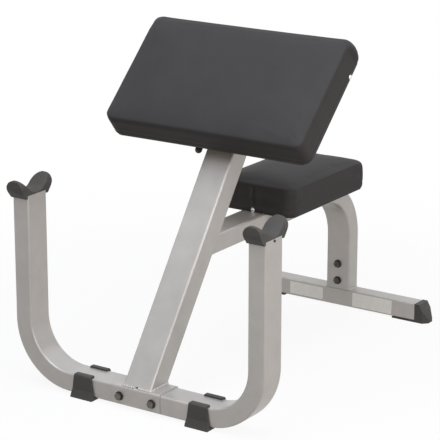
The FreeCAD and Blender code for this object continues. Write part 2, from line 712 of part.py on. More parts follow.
def make_rear_foot():
    body = new_body("rear_foot")
    section = new_sketch(body, "YZ_Plane")
    trace_tube(section, "sizes.foot_side", "sizes.foot_side", "sizes.tube_wall", "sizes.tube_round")
    pad(body, section, "sizes.foot_length")
    return bind_place(body, "0", f"{BACK} - sizes.foot_side / 2", "sizes.foot_gap + sizes.foot_side / 2")


def make_leg_stub():
    """A plate welded on the rear foot with a short tube that the leg slips over."""
    body = new_body("leg_stub")
    base = new_sketch(body, "XY_Plane")
    trace_rectangle(base, "sizes.tube_wide / 2", "sizes.tube_thin / 2", "sizes.tube_round")
    pad(body, base, "sizes.stub_plate", "One side")
    inside = "2 * (sizes.tube_wall + sizes.stub_clearance)"
    tube = new_sketch(body, "XY_Plane", ("0", "0", "sizes.stub_plate"))
    trace_tube(tube, f"(sizes.tube_wide - {inside})", f"(sizes.tube_thin - {inside})",
               "sizes.stub_wall", "sizes.tube_round")
    pad(body, tube, "sizes.stub_tall", "One side")
    holes = new_sketch(body, "XZ_Plane")
    for up in leg_bolt_places():
        trace_circle(holes, "0", f"{up} - {FOOT_TOP}", BOLT_HOLE)
    pocket(body, holes, "sizes.tube_thin * 2")
    return bind_place(body, "0", LEG_Y, FOOT_TOP)


def make_end_cap(name, side, angle):
    """A rubber foot on the end of the rear tube: faceted toe, sole under the tube, plug inside it."""
    body = new_body(name)
    profile = new_sketch(body, "XZ_Plane")
    trace(profile, (
        ("-sizes.sole_reach", "0", None),
        ("sizes.cap_reach", "0", None),
        ("sizes.cap_reach", "sizes.cap_toe", None),
        ("sizes.cap_shoulder", FOOT_TOP, None),
        ("0", FOOT_TOP, None),
        ("0", "sizes.foot_gap", None),
        ("-sizes.sole_reach", "sizes.foot_gap", None),
    ))
    pad(body, profile, "sizes.foot_side")
    trim = new_sketch(body, "XY_Plane")
    half = "sizes.foot_side / 2"
    trace_rectangle(trim, "sizes.foot_length", "sizes.foot_side")
    trace(trim, (
        ("-sizes.sole_reach * 2", f"-{half}", None),
        ("sizes.cap_reach - sizes.cap_facet", f"-{half}", None),
        ("sizes.cap_reach", f"sizes.cap_facet - {half}", None),
        ("sizes.cap_reach", f"{half} - sizes.cap_facet", None),
        ("sizes.cap_reach - sizes.cap_facet", half, None),
        ("-sizes.sole_reach * 2", half, None),
    ))
    pocket(body, trim, "sizes.foot_side * 3")
    plug = new_sketch(body, "YZ_Plane", ("0", "sizes.foot_gap + sizes.foot_side / 2", "0"))
    inner = f"{half} - sizes.tube_wall - sizes.plug_clearance"
    trace_rectangle(plug, inner, inner, "sizes.tube_round")
    pad(body, plug, "sizes.cap_plug", "One side", True)
    return bind_place(body, f"{side}sizes.foot_length / 2", f"{BACK} - sizes.foot_side / 2", "0",
                      Z_AXIS, angle)


def make_board(name, wide, long, corner, holes):
    """A plywood board with a stepped hole for the flange and the barrel of each tee nut."""
    body = new_body(name)
    face = new_sketch(body, "XY_Plane", ("0", f"{long} / 2", "0"))
    trace_rectangle(face, f"{wide} / 2 - sizes.board_inset", f"{long} / 2 - sizes.board_inset",
                    f"{corner} - sizes.board_inset")
    blank = pad(body, face, "sizes.board_thick", "One side")
    bores = new_sketch(body, "XY_Plane")
    steps = new_sketch(body, "XY_Plane", ("0", "0", "sizes.board_thick"))
    for across, along in holes:
        trace_circle(bores, across, along, "sizes.tee_barrel")
        trace_circle(steps, across, along, "sizes.tee_flange")
    pocket(body, bores, "sizes.board_thick * 3")
    pocket(body, steps, "sizes.tee_flange_thick * 2")
    return body, blank


def drawn_ring(half_wide, long, inset, corner, draw, up):
    """A closed outline with round corners whose sides draw in between them."""
    wide, start, end = half_wide - inset, inset, long - inset
    centre = (start + end) / 2
    radius = max(corner - inset, corner / 4)
    chord = radius * (1 - math.sqrt(0.5))

    def point(across, along):
        return FreeCAD.Vector(across, along, up)

    arcs = (
        (point(radius - wide, start), point(0, start + draw), point(wide - radius, start)),
        (None, point(wide - chord, start + chord), point(wide, start + radius)),
        (None, point(wide - draw, centre), point(wide, end - radius)),
        (None, point(wide - chord, end - chord), point(wide - radius, end)),
        (None, point(0, end - draw), point(radius - wide, end)),
        (None, point(chord - wide, end - chord), point(-wide, end - radius)),
        (None, point(draw - wide, centre), point(-wide, start + radius)),
        (None, point(chord - wide, start + chord), point(radius - wide, start)),
    )
    edges = []
    last = None
    for first, through, finish in arcs:
        edges.append(Part.Arc(first or last, through, finish).toShape())
        last = finish
    return Part.Wire(edges)


def make_cushion(name, kind, board_blank):
    """A crowned foam cushion, drawn in along its sides and tucked round its board."""
    half_wide = value(f"sizes.{kind}_wide / 2")
    long = value(f"sizes.{kind}_long")
    tall = value(f"sizes.{kind}_tall")
    crown = value(f"sizes.{kind}_crown")
    corner = value(f"sizes.{kind}_corner")
    tuck = value("sizes.cushion_tuck")
    edge = value(f"sizes.{kind}_round")
    draw = value("sizes.cushion_draw")
    spread = min(half_wide, long / 2) * CROWN_SPREAD - edge
    levels = []
    for step in range(EDGE_STEPS + 1):
        turn = math.pi / 2 * step / EDGE_STEPS
        levels.append((tuck * (1 - math.cos(turn)), tuck * (1 - math.sin(turn))))
    for step in range(EDGE_STEPS + 1):
        turn = math.pi / 2 * step / EDGE_STEPS
        levels.append((tall - edge * (1 - math.sin(turn)), edge * (1 - math.cos(turn))))
    for step in range(1, CROWN_STEPS + 1):
        share = step / CROWN_STEPS
        levels.append((tall + crown * (1 - (1 - share) ** 2), edge + spread * share))
    wires = [drawn_ring(half_wide, long, inset, corner, draw, up) for up, inset in levels]
    solid = Part.makeLoft(wires, True, True)
    piece = doc.addObject("Part::Feature", name)
    piece.Label = name
    piece.Shape = solid.cut(board_blank.Shape).removeSplitter()
    return piece


def make_seat_fasteners():
    """Bolts up through the beam into tee nuts in the seat's board."""
    places = [("0", along) for along in seat_bolt_places()]
    under = "-sizes.tube_thin - sizes.small_washer_thick"
    bolts = hex_bolts("seat_bolts", [(x, y, under) for x, y in places], "sizes.small_radius",
                      "sizes.tube_thin + sizes.small_washer_thick + sizes.small_depth",
                      "sizes.small_flats", "sizes.small_head")
    washers = rings("seat_washers", [(x, y, under) for x, y in places], "sizes.small_washer",
                    SMALL_HOLE, "sizes.small_washer_thick")
    return [bolts, washers, make_tee_nuts("seat_tee_nuts", places)]


def make_tee_nuts(name, places):
    """Tee nuts sunk in a board: a flange on its inner face and a barrel down its hole."""
    members = []
    for across, along in places:
        flange = cylinder(name + "_flange", "sizes.tee_flange", "sizes.tee_flange_thick", across, along,
                          "sizes.board_thick - sizes.tee_flange_thick")
        barrel = cylinder(name + "_barrel", "sizes.tee_barrel", "sizes.board_thick - sizes.tee_lift",
                          across, along, "sizes.tee_lift")
        bore = cylinder(name + "_bore", "sizes.small_radius", "sizes.board_thick", across, along)
        members.append(cut(name + "_nut", fuse(name + "_body", flange, barrel), bore))
    return group(name, members)


def pad_bolt_rows():
    """How far up the slope each pair of pad bolts lies, and how deep its bracket is."""
    return (BRACKET_U, "sizes.bracket_tall"), (PLATE_BOLT_U, "sizes.plate_thick")


def pad_bolt_pair(along):
    return [(side + "sizes.pad_bolt_span / 2", along) for side in ("-", "")]


def make_lower_bracket():
    """A cross tube behind the arm pad, notched over the post."""
    body = new_body("pad_lower_bracket")
    section = new_sketch(body, "YZ_Plane", (BRACKET_U, "-sizes.bracket_tall / 2", "0"))
    trace_tube(section, "sizes.bracket_thin", "sizes.bracket_tall", "sizes.tube_wall",
               "(sizes.tube_wall * 1.5)")
    pad(body, section, "sizes.bracket_long")

    def post_face(along):
        return f"{POST_V} + (({along}) - {POST_U}) * tan({COLUMN_RISE})"

    low, high = "(sizes.bracket_low - sizes.bracket_thin)", "(sizes.bracket_low + 2 * sizes.bracket_thin)"
    notch = new_sketch(body, "YZ_Plane")
    trace(notch, (
        (low, "-sizes.bracket_tall * 2", None),
        (high, "-sizes.bracket_tall * 2", None),
        (high, post_face(high), None),
        (low, post_face(low), None),
    ))
    pocket(body, notch, "sizes.tube_wide + 2 * sizes.bracket_notch")
    holes = new_sketch(body, "XY_Plane")
    for across, along in pad_bolt_pair(BRACKET_U):
        trace_circle(holes, across, along, SMALL_HOLE)
    pocket(body, holes, "sizes.bracket_tall * 3")
    return body


def make_upper_bracket():
    """A bent plate: one flange closes the post's top, the other lies on the pad's back."""
    body = new_body("pad_upper_bracket")
    plate = "sizes.plate_thick"
    sine, cosine = f"sin({COLUMN_RISE})", f"cos({COLUMN_RISE})"
    back_u, back_v = f"{TOP_U} + sizes.tube_thin * {sine}", f"{TOP_V} - sizes.tube_thin * {cosine}"
    fold_u = f"{PLATE_U} + {plate} / {cosine} + {plate} * tan({COLUMN_RISE})"
    cover = new_sketch(body, "YZ_Plane")
    trace(cover, (
        (PLATE_U, "0", None),
        (back_u, back_v, None),
        (f"{back_u} + {plate} * {cosine}", f"{back_v} + {plate} * {sine}", None),
        (fold_u, f"-{plate}", None),
        (fold_u, "0", None),
    ))
    pad(body, cover, "sizes.tube_wide")
    flange = new_sketch(body, "XY_Plane")
    half = "sizes.bracket_long / 2"
    far = f"{PLATE_U} + sizes.plate_long"
    trace(flange, (
        (f"-{half}", fold_u, None),
        (half, fold_u, None),
        (half, far, "sizes.small_radius * 3"),
        (f"-{half}", far, "sizes.small_radius * 3"),
    ))
    pad(body, flange, plate, "One side", True)
    holes = new_sketch(body, "XY_Plane")
    for across, along in pad_bolt_pair(PLATE_BOLT_U):
        trace_circle(holes, across, along, SMALL_HOLE)
    pocket(body, holes, "sizes.tube_thin")
    return body


def make_pad_fasteners():
    """Bolts through each bracket into tee nuts in the arm pad's board."""
    washer = "sizes.small_washer_thick"
    pieces, seats, holes = [], [], []
    for name, (row, depth) in zip(("lower_pad_bolts", "upper_pad_bolts"), pad_bolt_rows()):
        places = [(across, along, f"-{depth} - {washer}") for across, along in pad_bolt_pair(row)]
        pieces.append(hex_bolts(name, places, "sizes.small_radius",
                                f"{depth} + {washer} + sizes.small_depth", "sizes.small_flats",
                                "sizes.small_head"))
        seats += places
        holes += pad_bolt_pair(row)
    pieces.append(rings("arm_pad_washers", seats, "sizes.small_washer", SMALL_HOLE, washer))
    pieces.append(make_tee_nuts("arm_pad_tee_nuts", holes))
    return pieces


def along_column(piece):
    """Place a piece that is drawn about the column's axis, with local Z up along the column."""
    return bind_place(piece, "0", AXIS_Y, AXIS_Z, X_AXIS, "-sizes.column_lean")


def make_pad_post():
    """The tube that slides in the column and carries the arm pad."""
    body = new_body("pad_post")
    section = new_sketch(body, "XY_Plane", ("0", "0", "sizes.post_low"))
    trace_tube(section, "sizes.tube_wide", "sizes.tube_thin", "sizes.tube_wall", "sizes.tube_round")
    pad(body, section, "sizes.post_top - sizes.post_low", "One side")
    return along_column(body)


def trace_slide_hole(sketch):
    """The opening that the post runs through, with its running clearance."""
    trace_rectangle(sketch, "sizes.tube_wide / 2 + sizes.slide_clearance",
                    "sizes.tube_thin / 2 + sizes.slide_clearance", "sizes.tube_round")


def make_post_guide():
    """A plastic sleeve in the column's mouth, with a lip that covers the cut edge."""
    body = new_body("post_guide")
    lip = new_sketch(body, "XY_Plane", ("0", "0", "sizes.column_length"))
    trace_rectangle(lip, "sizes.column_wide / 2", "sizes.column_deep / 2", "sizes.tube_round")
    trace_slide_hole(lip)
    pad(body, lip, "sizes.guide_lip", "One side")
    sleeve = new_sketch(body, "XY_Plane", ("0", "0", "sizes.column_length"))
    trace_rectangle(sleeve, "sizes.column_wide / 2 - sizes.column_wall",
                    "sizes.column_deep / 2 - sizes.column_wall")
    trace_slide_hole(sleeve)
    pad(body, sleeve, "sizes.guide_deep", "One side", True)
    return along_column(body)


def make_post_glide():
    """A plastic foot in the post's lower end, which keeps it straight in the column."""
    body = new_body("post_glide")
    rim = new_sketch(body, "XY_Plane", ("0", "0", "sizes.post_low"))
    inside = "- sizes.column_wall - sizes.slide_clearance"
    trace_rectangle(rim, f"sizes.column_wide / 2 {inside}", f"sizes.column_deep / 2 {inside}",
                    "sizes.tube_wall")
    pad(body, rim, "sizes.glide_rim", "One side", True)
    plug = new_sketch(body, "XY_Plane", ("0", "0", "sizes.post_low"))
    inside = "- sizes.tube_wall - sizes.plug_clearance"
    trace_rectangle(plug, f"sizes.tube_wide / 2 {inside}", f"sizes.tube_thin / 2 {inside}",
                    "sizes.tube_round")
    pad(body, plug, "sizes.glide_plug", "One side")
    return along_column(body)


def at_lock(piece):
    """Place a piece that is drawn about the lock's screw, with local Z up along the column."""
    return bind_place(piece, "0", LOCK_Y, LOCK_Z, X_AXIS, "-sizes.column_lean")


def make_lock_nut():
    """A long nut welded on the column's left side."""
    body = new_body("lock_nut")
    section = new_sketch(body, "YZ_Plane", ("0", "0", "-sizes.column_wide / 2"))
    flat, point = "sizes.lock_nut_flats / 2", "sizes.lock_nut_flats / 2 / cos(30)"
    trace(section, (
        (point, "0", None),
        (f"({point}) / 2", flat, None),
        (f"-({point}) / 2", flat, None),
        (f"-({point})", "0", None),
        (f"-({point}) / 2", f"-{flat}", None),
        (f"({point}) / 2", f"-{flat}", None),
    ))
    trace_circle(section, "0", "0", "sizes.lock_radius + sizes.lock_running")
    pad(body, section, "sizes.lock_nut_long", "One side", True)
    return at_lock(body)


def make_lock_lever():
    """A screw whose tip bears on the post, bent down into a handle."""
    body = new_body("lock_lever")
    tip = "-(sizes.tube_wide / 2 + sizes.slide_clearance)"
    spine = new_sketch(body, "XZ_Plane")
    trace(spine, (
        (tip, "0", None),
        ("-sizes.lock_reach", "0", "sizes.lock_bend"),
        ("-sizes.lock_reach", "-sizes.lock_drop", None),
    ), closed=False)
    profile = new_sketch(body, "YZ_Plane", ("0", "0", tip))
    trace_circle(profile, "0", "0", "sizes.lock_radius")
    sweep(body, profile, spine)
    return at_lock(body)


def make_lock_grip():
    """A round-ended plastic grip on the lever's handle."""
    reach, low = "-sizes.lock_reach", "-sizes.grip_low"
    wall = cylinder("lock_grip_wall", "sizes.grip_radius", "sizes.grip_low - sizes.grip_top", reach,
                    up=low)
    ball = doc.addObject("Part::Sphere", "lock_grip_ball")
    ball.setExpression("Radius", "sizes.grip_radius")
    bind_place(ball, reach, "0", low)
    bore = cylinder("lock_grip_bore", "sizes.lock_radius + sizes.lock_running",
                    "sizes.lock_drop - sizes.grip_top + sizes.lock_running", reach,
                    up="-sizes.lock_drop - sizes.lock_running")
    piece = cut("lock_grip", fuse("lock_grip_body", wall, ball), bore)
    piece.Label = "lock_grip"
    return at_lock(piece)


def build_all():
    """Every sub-part of the bench, in the order in which it is put together."""
    pieces = [make_front_frame(), make_column_saddle(), make_column()]
    saddle_places = [(side + "sizes.saddle_bolt_span / 2", f"-{BAR_MIDDLE}") for side in ("-", "")]
    pieces += make_through_bolts("saddle", saddle_places, f"{FRONT} - sizes.saddle_plate",
                                 "(sizes.tube_wide + 2 * sizes.saddle_plate)")
    for side, word in (("-", "left"), ("", "right")):
        pieces.append(make_bar_catch(side, word + "_bar_catch"))
        pieces.append(make_clip_foot(side, word + "_clip_foot", f"sizes.{word}_clip_place"))
    pieces += [make_catch_screws(), make_seat_beam(), make_rear_foot(), make_leg_stub()]
    leg_places = [("0", "-" + up) for up in leg_bolt_places()]
    pieces += make_through_bolts("leg", leg_places, f"{BACK} - sizes.tube_thin", "sizes.tube_thin")
    pieces.append(make_end_cap("left_end_cap", "-", "180"))
    pieces.append(make_end_cap("right_end_cap", "", "0"))

    seat_holes = [("0", along) for along in seat_bolt_places()]
    board, blank = make_board("seat_board", "sizes.seat_wide", "sizes.seat_long", "sizes.seat_corner",
                              seat_holes)
    seat = [board, make_cushion("seat_cushion", "seat", blank)] + make_seat_fasteners()
    for piece in seat:
        bind_place(piece, "0", SEAT_Y, "sizes.beam_top")

    pieces += [make_post_guide(), make_lock_nut(), make_lock_lever(), make_lock_grip()]
    pieces += [make_pad_post(), make_post_glide()]
    pad_holes = pad_bolt_pair(BRACKET_U) + pad_bolt_pair(PLATE_BOLT_U)
    board, blank = make_board("arm_pad_board", "sizes.pad_wide", "sizes.pad_long", "sizes.pad_corner",
                              pad_holes)
    arm_pad = [board, make_cushion("arm_pad_cushion", "pad", blank)]
    arm_pad += [make_lower_bracket(), make_upper_bracket()] + make_pad_fasteners()
    for piece in arm_pad:
        bind_place(piece, "0", PAD_Y, "sizes.pad_back_z", X_AXIS, "sizes.pad_tilt")
    return pieces + seat + arm_pad


def write_all(pieces):
    """Check every object of the document, then write one file for each sub-part."""
    doc.recompute()
    faults = [item.Name for item in doc.Objects if {"Invalid", "Error"} & set(item.State)]
    faults += [piece.Label for piece in pieces if piece.Shape.isNull() or not piece.Shape.isValid()]
    if faults:
        raise RuntimeError("not built: " + ", ".join(faults))
    os.makedirs("parts", exist_ok=True)
    for piece in pieces:
        piece.Shape.exportStep(os.path.join("parts", piece.Label + ".step"))
        solids, litres = len(piece.Shape.Solids), piece.Shape.Volume / 1e6
        print("%-20s %d solids %8.4f litres" % (piece.Label, solids, litres))
    whole = Part.makeCompound([piece.Shape for piece in pieces]).BoundBox
    print("whole", [round(number, 2) for number in (whole.XMin, whole.YMin, whole.ZMin)],
          [round(number, 2) for number in (whole.XMax, whole.YMax, whole.ZMax)])


write_all(build_all())
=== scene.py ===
# %% [markdown]
# # A preacher curl bench
# The solids of this bench come from its CAD model, in metres, with the floor at Z = 0 and the front at -Y.
# This script dresses them: it gives every tube, foot and bolt its finish, swaps the stiff cushions for
# soft ones, and adds the small things that a maker adds last, such as weld beads, vents and staples.
# The frame is loaded first and measured, because nothing that follows may change its size.

# %% Load the frame
import json
import math

import bmesh
import bpy
from mathutils import Matrix, Vector, noise


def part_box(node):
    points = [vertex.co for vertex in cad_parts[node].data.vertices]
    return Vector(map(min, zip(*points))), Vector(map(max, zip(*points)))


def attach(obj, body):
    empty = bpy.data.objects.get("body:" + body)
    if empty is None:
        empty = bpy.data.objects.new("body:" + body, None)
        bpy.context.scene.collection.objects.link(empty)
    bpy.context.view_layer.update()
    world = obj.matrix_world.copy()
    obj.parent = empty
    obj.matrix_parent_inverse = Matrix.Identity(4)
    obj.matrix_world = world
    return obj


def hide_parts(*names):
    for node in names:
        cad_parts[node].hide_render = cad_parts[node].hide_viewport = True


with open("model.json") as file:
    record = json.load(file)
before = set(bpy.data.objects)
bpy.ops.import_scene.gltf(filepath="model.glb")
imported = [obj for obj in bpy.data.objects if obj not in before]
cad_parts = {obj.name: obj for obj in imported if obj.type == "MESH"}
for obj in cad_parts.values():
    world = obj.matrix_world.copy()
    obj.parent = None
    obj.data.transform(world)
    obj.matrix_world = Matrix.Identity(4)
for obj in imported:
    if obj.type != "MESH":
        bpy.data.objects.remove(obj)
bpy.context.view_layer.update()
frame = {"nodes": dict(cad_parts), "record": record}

nodes = frame["nodes"]
MM = 0.001

# %% [markdown]
# ## Colours and nodes
# A colour is easiest to pick as an sRGB hex value, the way a paint card or a picture editor gives it.
# Shaders work in linear light, so one function turns hex into linear values.
# A second function adds a shader node with its settings and links, which keeps each material short to read.
# Patterns are set by the real size of their features: a texture's scale is features per metre.


# %% Colour, node and pattern helpers
def srgb(text):
    """A linear RGBA colour from a hex value such as "#8c8c8c"."""
    channels = [int(text[place:place + 2], 16) / 255 for place in (1, 3, 5)]
    linear = [c / 12.92 if c <= 0.04045 else ((c + 0.055) / 1.055) ** 2.4 for c in channels]
    return (*linear, 1.0)


def add_node(material, kind, settings=(), links=()):
    """Add one node. Settings name its properties or inputs, and links name the sockets that feed it."""
    node = material.node_tree.nodes.new(kind)
    for key, value in dict(settings).items():
        if isinstance(key, str) and hasattr(node, key):
            setattr(node, key, value)
        else:
            node.inputs[key].default_value = value
    for key, source in dict(links).items():
        material.node_tree.links.new(source, node.inputs[key])
    return node


def per_metre(feature_mm):
    """The texture scale at which one feature is that many millimetres wide."""
    return 1 / (feature_mm * MM)


def new_material(name):
    """An empty material with a Principled shader on its output, and the object's own coordinates."""
    material = bpy.data.materials.new(name)
    material.use_nodes = True
    material.node_tree.nodes.clear()
    shader = add_node(material, "ShaderNodeBsdfPrincipled")
    add_node(material, "ShaderNodeOutputMaterial", links={"Surface": shader.outputs[0]})
    place = add_node(material, "ShaderNodeTexCoord").outputs["Object"]
    return material, shader, place


def feed(material, shader, sockets):
    """Link outputs to the shader's sockets by name."""
    for name, source in sockets.items():
        material.node_tree.links.new(source, shader.inputs[name])


print("0.5 grey in linear light", round(srgb("#808080")[0], 3))

# %% [markdown]
# ## Silver powder coat
# The tubes are mild steel with a baked polyester powder coat in metallic silver.
# Powder melts into a film with a faint orange-peel ripple, and the aluminium flakes in it make a soft,
# broad highlight. So the shader is part metal with a mid roughness, a fine bump for the ripple and a
# slight mottle where the film is thicker. The real ripple is about 1 mm wide, too fine to show from here,
# so it is drawn at 4 mm.

# %% Powder coat
PEEL_MM = 4
FILM_MM = 45
SPARKLE_MM = 2.2

powder_coat, shader, place = new_material("silver_powder_coat")
shader.inputs["Metallic"].default_value = 0.35
shader.inputs["Coat Weight"].default_value = 0.28
shader.inputs["Coat Roughness"].default_value = 0.16
film = add_node(powder_coat, "ShaderNodeTexNoise", {"Scale": per_metre(FILM_MM), "Detail": 3},
                {"Vector": place})
sparkle = add_node(powder_coat, "ShaderNodeTexNoise", {"Scale": per_metre(SPARKLE_MM), "Detail": 1},
                   {"Vector": place})
mottle = add_node(powder_coat, "ShaderNodeMath", {"operation": "MULTIPLY_ADD", 1: 0.35},
                  {0: sparkle.outputs["Fac"], 2: film.outputs["Fac"]})
tint = add_node(powder_coat, "ShaderNodeValToRGB", links={"Fac": mottle.outputs[0]})
tint.color_ramp.elements[0].position = 0.35
tint.color_ramp.elements[0].color = srgb("#b2afac")
tint.color_ramp.elements[1].position = 0.95
tint.color_ramp.elements[1].color = srgb("#bebbb8")
gloss = add_node(powder_coat, "ShaderNodeMapRange", {"To Min": 0.36, "To Max": 0.48},
                 {"Value": film.outputs["Fac"]})
peel = add_node(powder_coat, "ShaderNodeTexNoise", {"Scale": per_metre(PEEL_MM), "Detail": 2},
                {"Vector": place})
ripple = add_node(powder_coat, "ShaderNodeBump", {"Strength": 0.12, "Distance": 0.2 * MM},
                  {"Height": peel.outputs["Fac"]})
feed(powder_coat, shader, {"Base Color": tint.outputs["Color"], "Roughness": gloss.outputs[0],
                           "Normal": ripple.outputs[0]})
print(powder_coat.name, len(powder_coat.node_tree.nodes), "nodes")

# %% [markdown]
# ## Black moulded rubber
# The bar catches, clip feet and end caps are moulded rubber. The mould was sand-blasted, so the skin is
# matte with a fine grit, and handling leaves it a little paler on raised edges. The grit is about 0.5 mm on
# the real piece and is drawn at 2.5 mm so that it shows.

# %% Moulded rubber
GRIT_MM = 2.5
SCUFF_MM = 18

rubber, shader, place = new_material("moulded_black_rubber")
shader.inputs["IOR"].default_value = 1.52
grit = add_node(rubber, "ShaderNodeTexNoise", {"Scale": per_metre(GRIT_MM), "Detail": 4}, {"Vector": place})
scuff = add_node(rubber, "ShaderNodeTexNoise", {"Scale": per_metre(SCUFF_MM), "Detail": 5, "Roughness": 0.65},
                 {"Vector": place})
edge = add_node(rubber, "ShaderNodeNewGeometry").outputs["Pointiness"]
worn = add_node(rubber, "ShaderNodeMapRange", {"From Min": 0.5, "From Max": 0.62}, {"Value": edge})
share = add_node(rubber, "ShaderNodeMath", {"operation": "MULTIPLY_ADD", 1: 0.5},
                 {0: worn.outputs[0], 2: scuff.outputs["Fac"]})
tint = add_node(rubber, "ShaderNodeValToRGB", links={"Fac": share.outputs[0]})
tint.color_ramp.elements[0].position = 0.3
tint.color_ramp.elements[0].color = srgb("#302d2b")
tint.color_ramp.elements[1].color = srgb("#444240")
dull = add_node(rubber, "ShaderNodeMapRange", {"To Min": 0.55, "To Max": 0.72},
                {"Value": scuff.outputs["Fac"]})
skin = add_node(rubber, "ShaderNodeBump", {"Strength": 0.25, "Distance": 0.3 * MM},
                {"Height": grit.outputs["Fac"]})
feed(rubber, shader, {"Base Color": tint.outputs["Color"], "Roughness": dull.outputs[0],
                      "Normal": skin.outputs[0]})
print(rubber.name, len(rubber.node_tree.nodes), "nodes")

# %% [markdown]
# ## Upholstery vinyl
# The pads wear charcoal PVC-coated cloth, embossed between rollers with a pebbled leather grain.
# The coating gives a soft sheen at grazing angles. Real pebbles are about 1.2 mm wide, which is finer than
# this picture can hold, so they are drawn at 3.2 mm. Stretched faces look a little smoother and paler, which
# a broad noise suggests.

# %% Upholstery vinyl
PEBBLE_MM = 3.2
STRETCH_MM = 90

vinyl, shader, place = new_material("charcoal_vinyl")
shader.inputs["IOR"].default_value = 1.5
shader.inputs["Specular IOR Level"].default_value = 0.1
pebbles = add_node(vinyl, "ShaderNodeTexVoronoi", {"Scale": per_metre(PEBBLE_MM), "feature": "SMOOTH_F1"},
                   {"Vector": place})
stretch = add_node(vinyl, "ShaderNodeTexNoise", {"Scale": per_metre(STRETCH_MM), "Detail": 4},
                   {"Vector": place})
tint = add_node(vinyl, "ShaderNodeValToRGB", links={"Fac": stretch.outputs["Fac"]})
tint.color_ramp.elements[0].position = 0.3
tint.color_ramp.elements[0].color = srgb("#3f3e3f")
tint.color_ramp.elements[1].position = 0.75
tint.color_ramp.elements[1].color = srgb("#444344")
gloss = add_node(vinyl, "ShaderNodeMapRange", {"To Min": 0.52, "To Max": 0.6},
                 {"Value": stretch.outputs["Fac"]})
grain = add_node(vinyl, "ShaderNodeBump", {"Strength": 0.22, "Distance": 0.25 * MM},
                 {"Height": pebbles.outputs["Distance"]})
feed(vinyl, shader, {"Base Color": tint.outputs["Color"], "Roughness": gloss.outputs[0],
                     "Normal": grain.outputs[0]})
print(vinyl.name, len(vinyl.node_tree.nodes), "nodes")

# %% [markdown]
# ## Plywood
# The boards inside the pads are rotary-cut birch plywood, bare on the back. The knife leaves long, wavy
# figure lines about 14 mm apart along the sheet, so a wave texture is stretched along X and bent by noise.
# At scale 1 the bands of a wave texture are tau / 20 apart, which its scale takes into account.

# %% Plywood
FIGURE_MM = 14
FIGURE_STRETCH = 0.08
WAVE_BAND = math.tau / 20

plywood, shader, place = new_material("birch_plywood")
shader.inputs["IOR"].default_value = 1.45
stretched = add_node(plywood, "ShaderNodeMapping", {"Scale": (FIGURE_STRETCH, 1, 1)}, {"Vector": place})
figure = add_node(plywood, "ShaderNodeTexWave",
                  {"bands_direction": "Y", "Scale": per_metre(FIGURE_MM) * WAVE_BAND, "Distortion": 9,
                   "Detail": 3, "Detail Scale": 1.5}, {"Vector": stretched.outputs[0]})
pores = add_node(plywood, "ShaderNodeTexNoise", {"Scale": per_metre(FIGURE_MM / 3), "Detail": 4},
                 {"Vector": stretched.outputs[0]})
mix = add_node(plywood, "ShaderNodeMath", {"operation": "MULTIPLY_ADD", 1: 0.4},
               {0: pores.outputs["Fac"], 2: figure.outputs["Fac"]})
tint = add_node(plywood, "ShaderNodeValToRGB", links={"Fac": mix.outputs[0]})
tint.color_ramp.elements[0].position = 0.15
tint.color_ramp.elements[0].color = srgb("#b0916a")
tint.color_ramp.elements[1].color = srgb("#c9ab83")
dry = add_node(plywood, "ShaderNodeMapRange", {"To Min": 0.6, "To Max": 0.78},
               {"Value": pores.outputs["Fac"]})
ridges = add_node(plywood, "ShaderNodeBump", {"Strength": 0.2, "Distance": 0.2 * MM},
                  {"Height": mix.outputs[0]})
feed(plywood, shader, {"Base Color": tint.outputs["Color"], "Roughness": dry.outputs[0],
                       "Normal": ridges.outputs[0]})
print(plywood.name, len(plywood.node_tree.nodes), "nodes")

# %% [markdown]
# ## Fasteners and plastics
# The frame's bolts, washers and nuts are black-oxide steel, a thin dark film on metal. The saddle's bolt
# heads get a paler copy of it, painted light, standing in for the brighter light they sit in.
# The pad bolts and the lever are zinc-plated, a pale grey metal with cloudy spangle. The post's guide and the
# lever's grip are injection-moulded nylon with a light spark-eroded texture. The vents are nickel-plated, and
# the plates on the rear foot are lacquered foil. They differ only in colour, metal share, roughness and the
# size of their texture, so one loop makes them. The table gives each one's dark and pale tint, metal share,
# lowest and highest roughness, feature size in millimetres and bump.

# %% Fasteners and plastics
FINISHES = {
    "black_oxide_steel": ("#383634", "#585552", 0.75, 0.36, 0.52, 6, 0.08),
    # A paler copy of the black oxide, painted light for the saddle's better-lit bolt heads.
    "lit_black_oxide_steel": ("#53504d", "#77736f", 0.9, 0.3, 0.45, 5, 0.06),
    "zinc_plated_steel": ("#b4b6b3", "#d2d3cf", 1.0, 0.24, 0.4, 9, 0.06),
    "moulded_nylon": ("#1b1b1c", "#282829", 0.0, 0.42, 0.55, 2.5, 0.15),
    "nickel_plate": ("#d7d6d2", "#ecebe8", 1.0, 0.12, 0.22, 5, 0.03),
    "plain_foil": ("#ececea", "#f4f4f2", 0.25, 0.4, 0.5, 12, 0.04),
}
finishes = {}
for name, (dark, pale, metal, low, high, feature_mm, bump) in FINISHES.items():
    material, shader, place = new_material(name)
    shader.inputs["Metallic"].default_value = metal
    cloud = add_node(material, "ShaderNodeTexNoise", {"Scale": per_metre(feature_mm), "Detail": 4},
                     {"Vector": place})
    tint = add_node(material, "ShaderNodeValToRGB", links={"Fac": cloud.outputs["Fac"]})
    tint.color_ramp.elements[0].position = 0.3
    tint.color_ramp.elements[0].color = srgb(dark)
    tint.color_ramp.elements[1].position = 0.75
    tint.color_ramp.elements[1].color = srgb(pale)
    rough = add_node(material, "ShaderNodeMapRange", {"To Min": low, "To Max": high},
                     {"Value": cloud.outputs["Fac"]})
    tooth = add_node(material, "ShaderNodeBump", {"Strength": bump, "Distance": 0.2 * MM},
                     {"Height": cloud.outputs["Fac"]})
    feed(material, shader, {"Base Color": tint.outputs["Color"], "Roughness": rough.outputs[0],
                            "Normal": tooth.outputs[0]})
    finishes[name] = material
print("finishes", sorted(finishes))

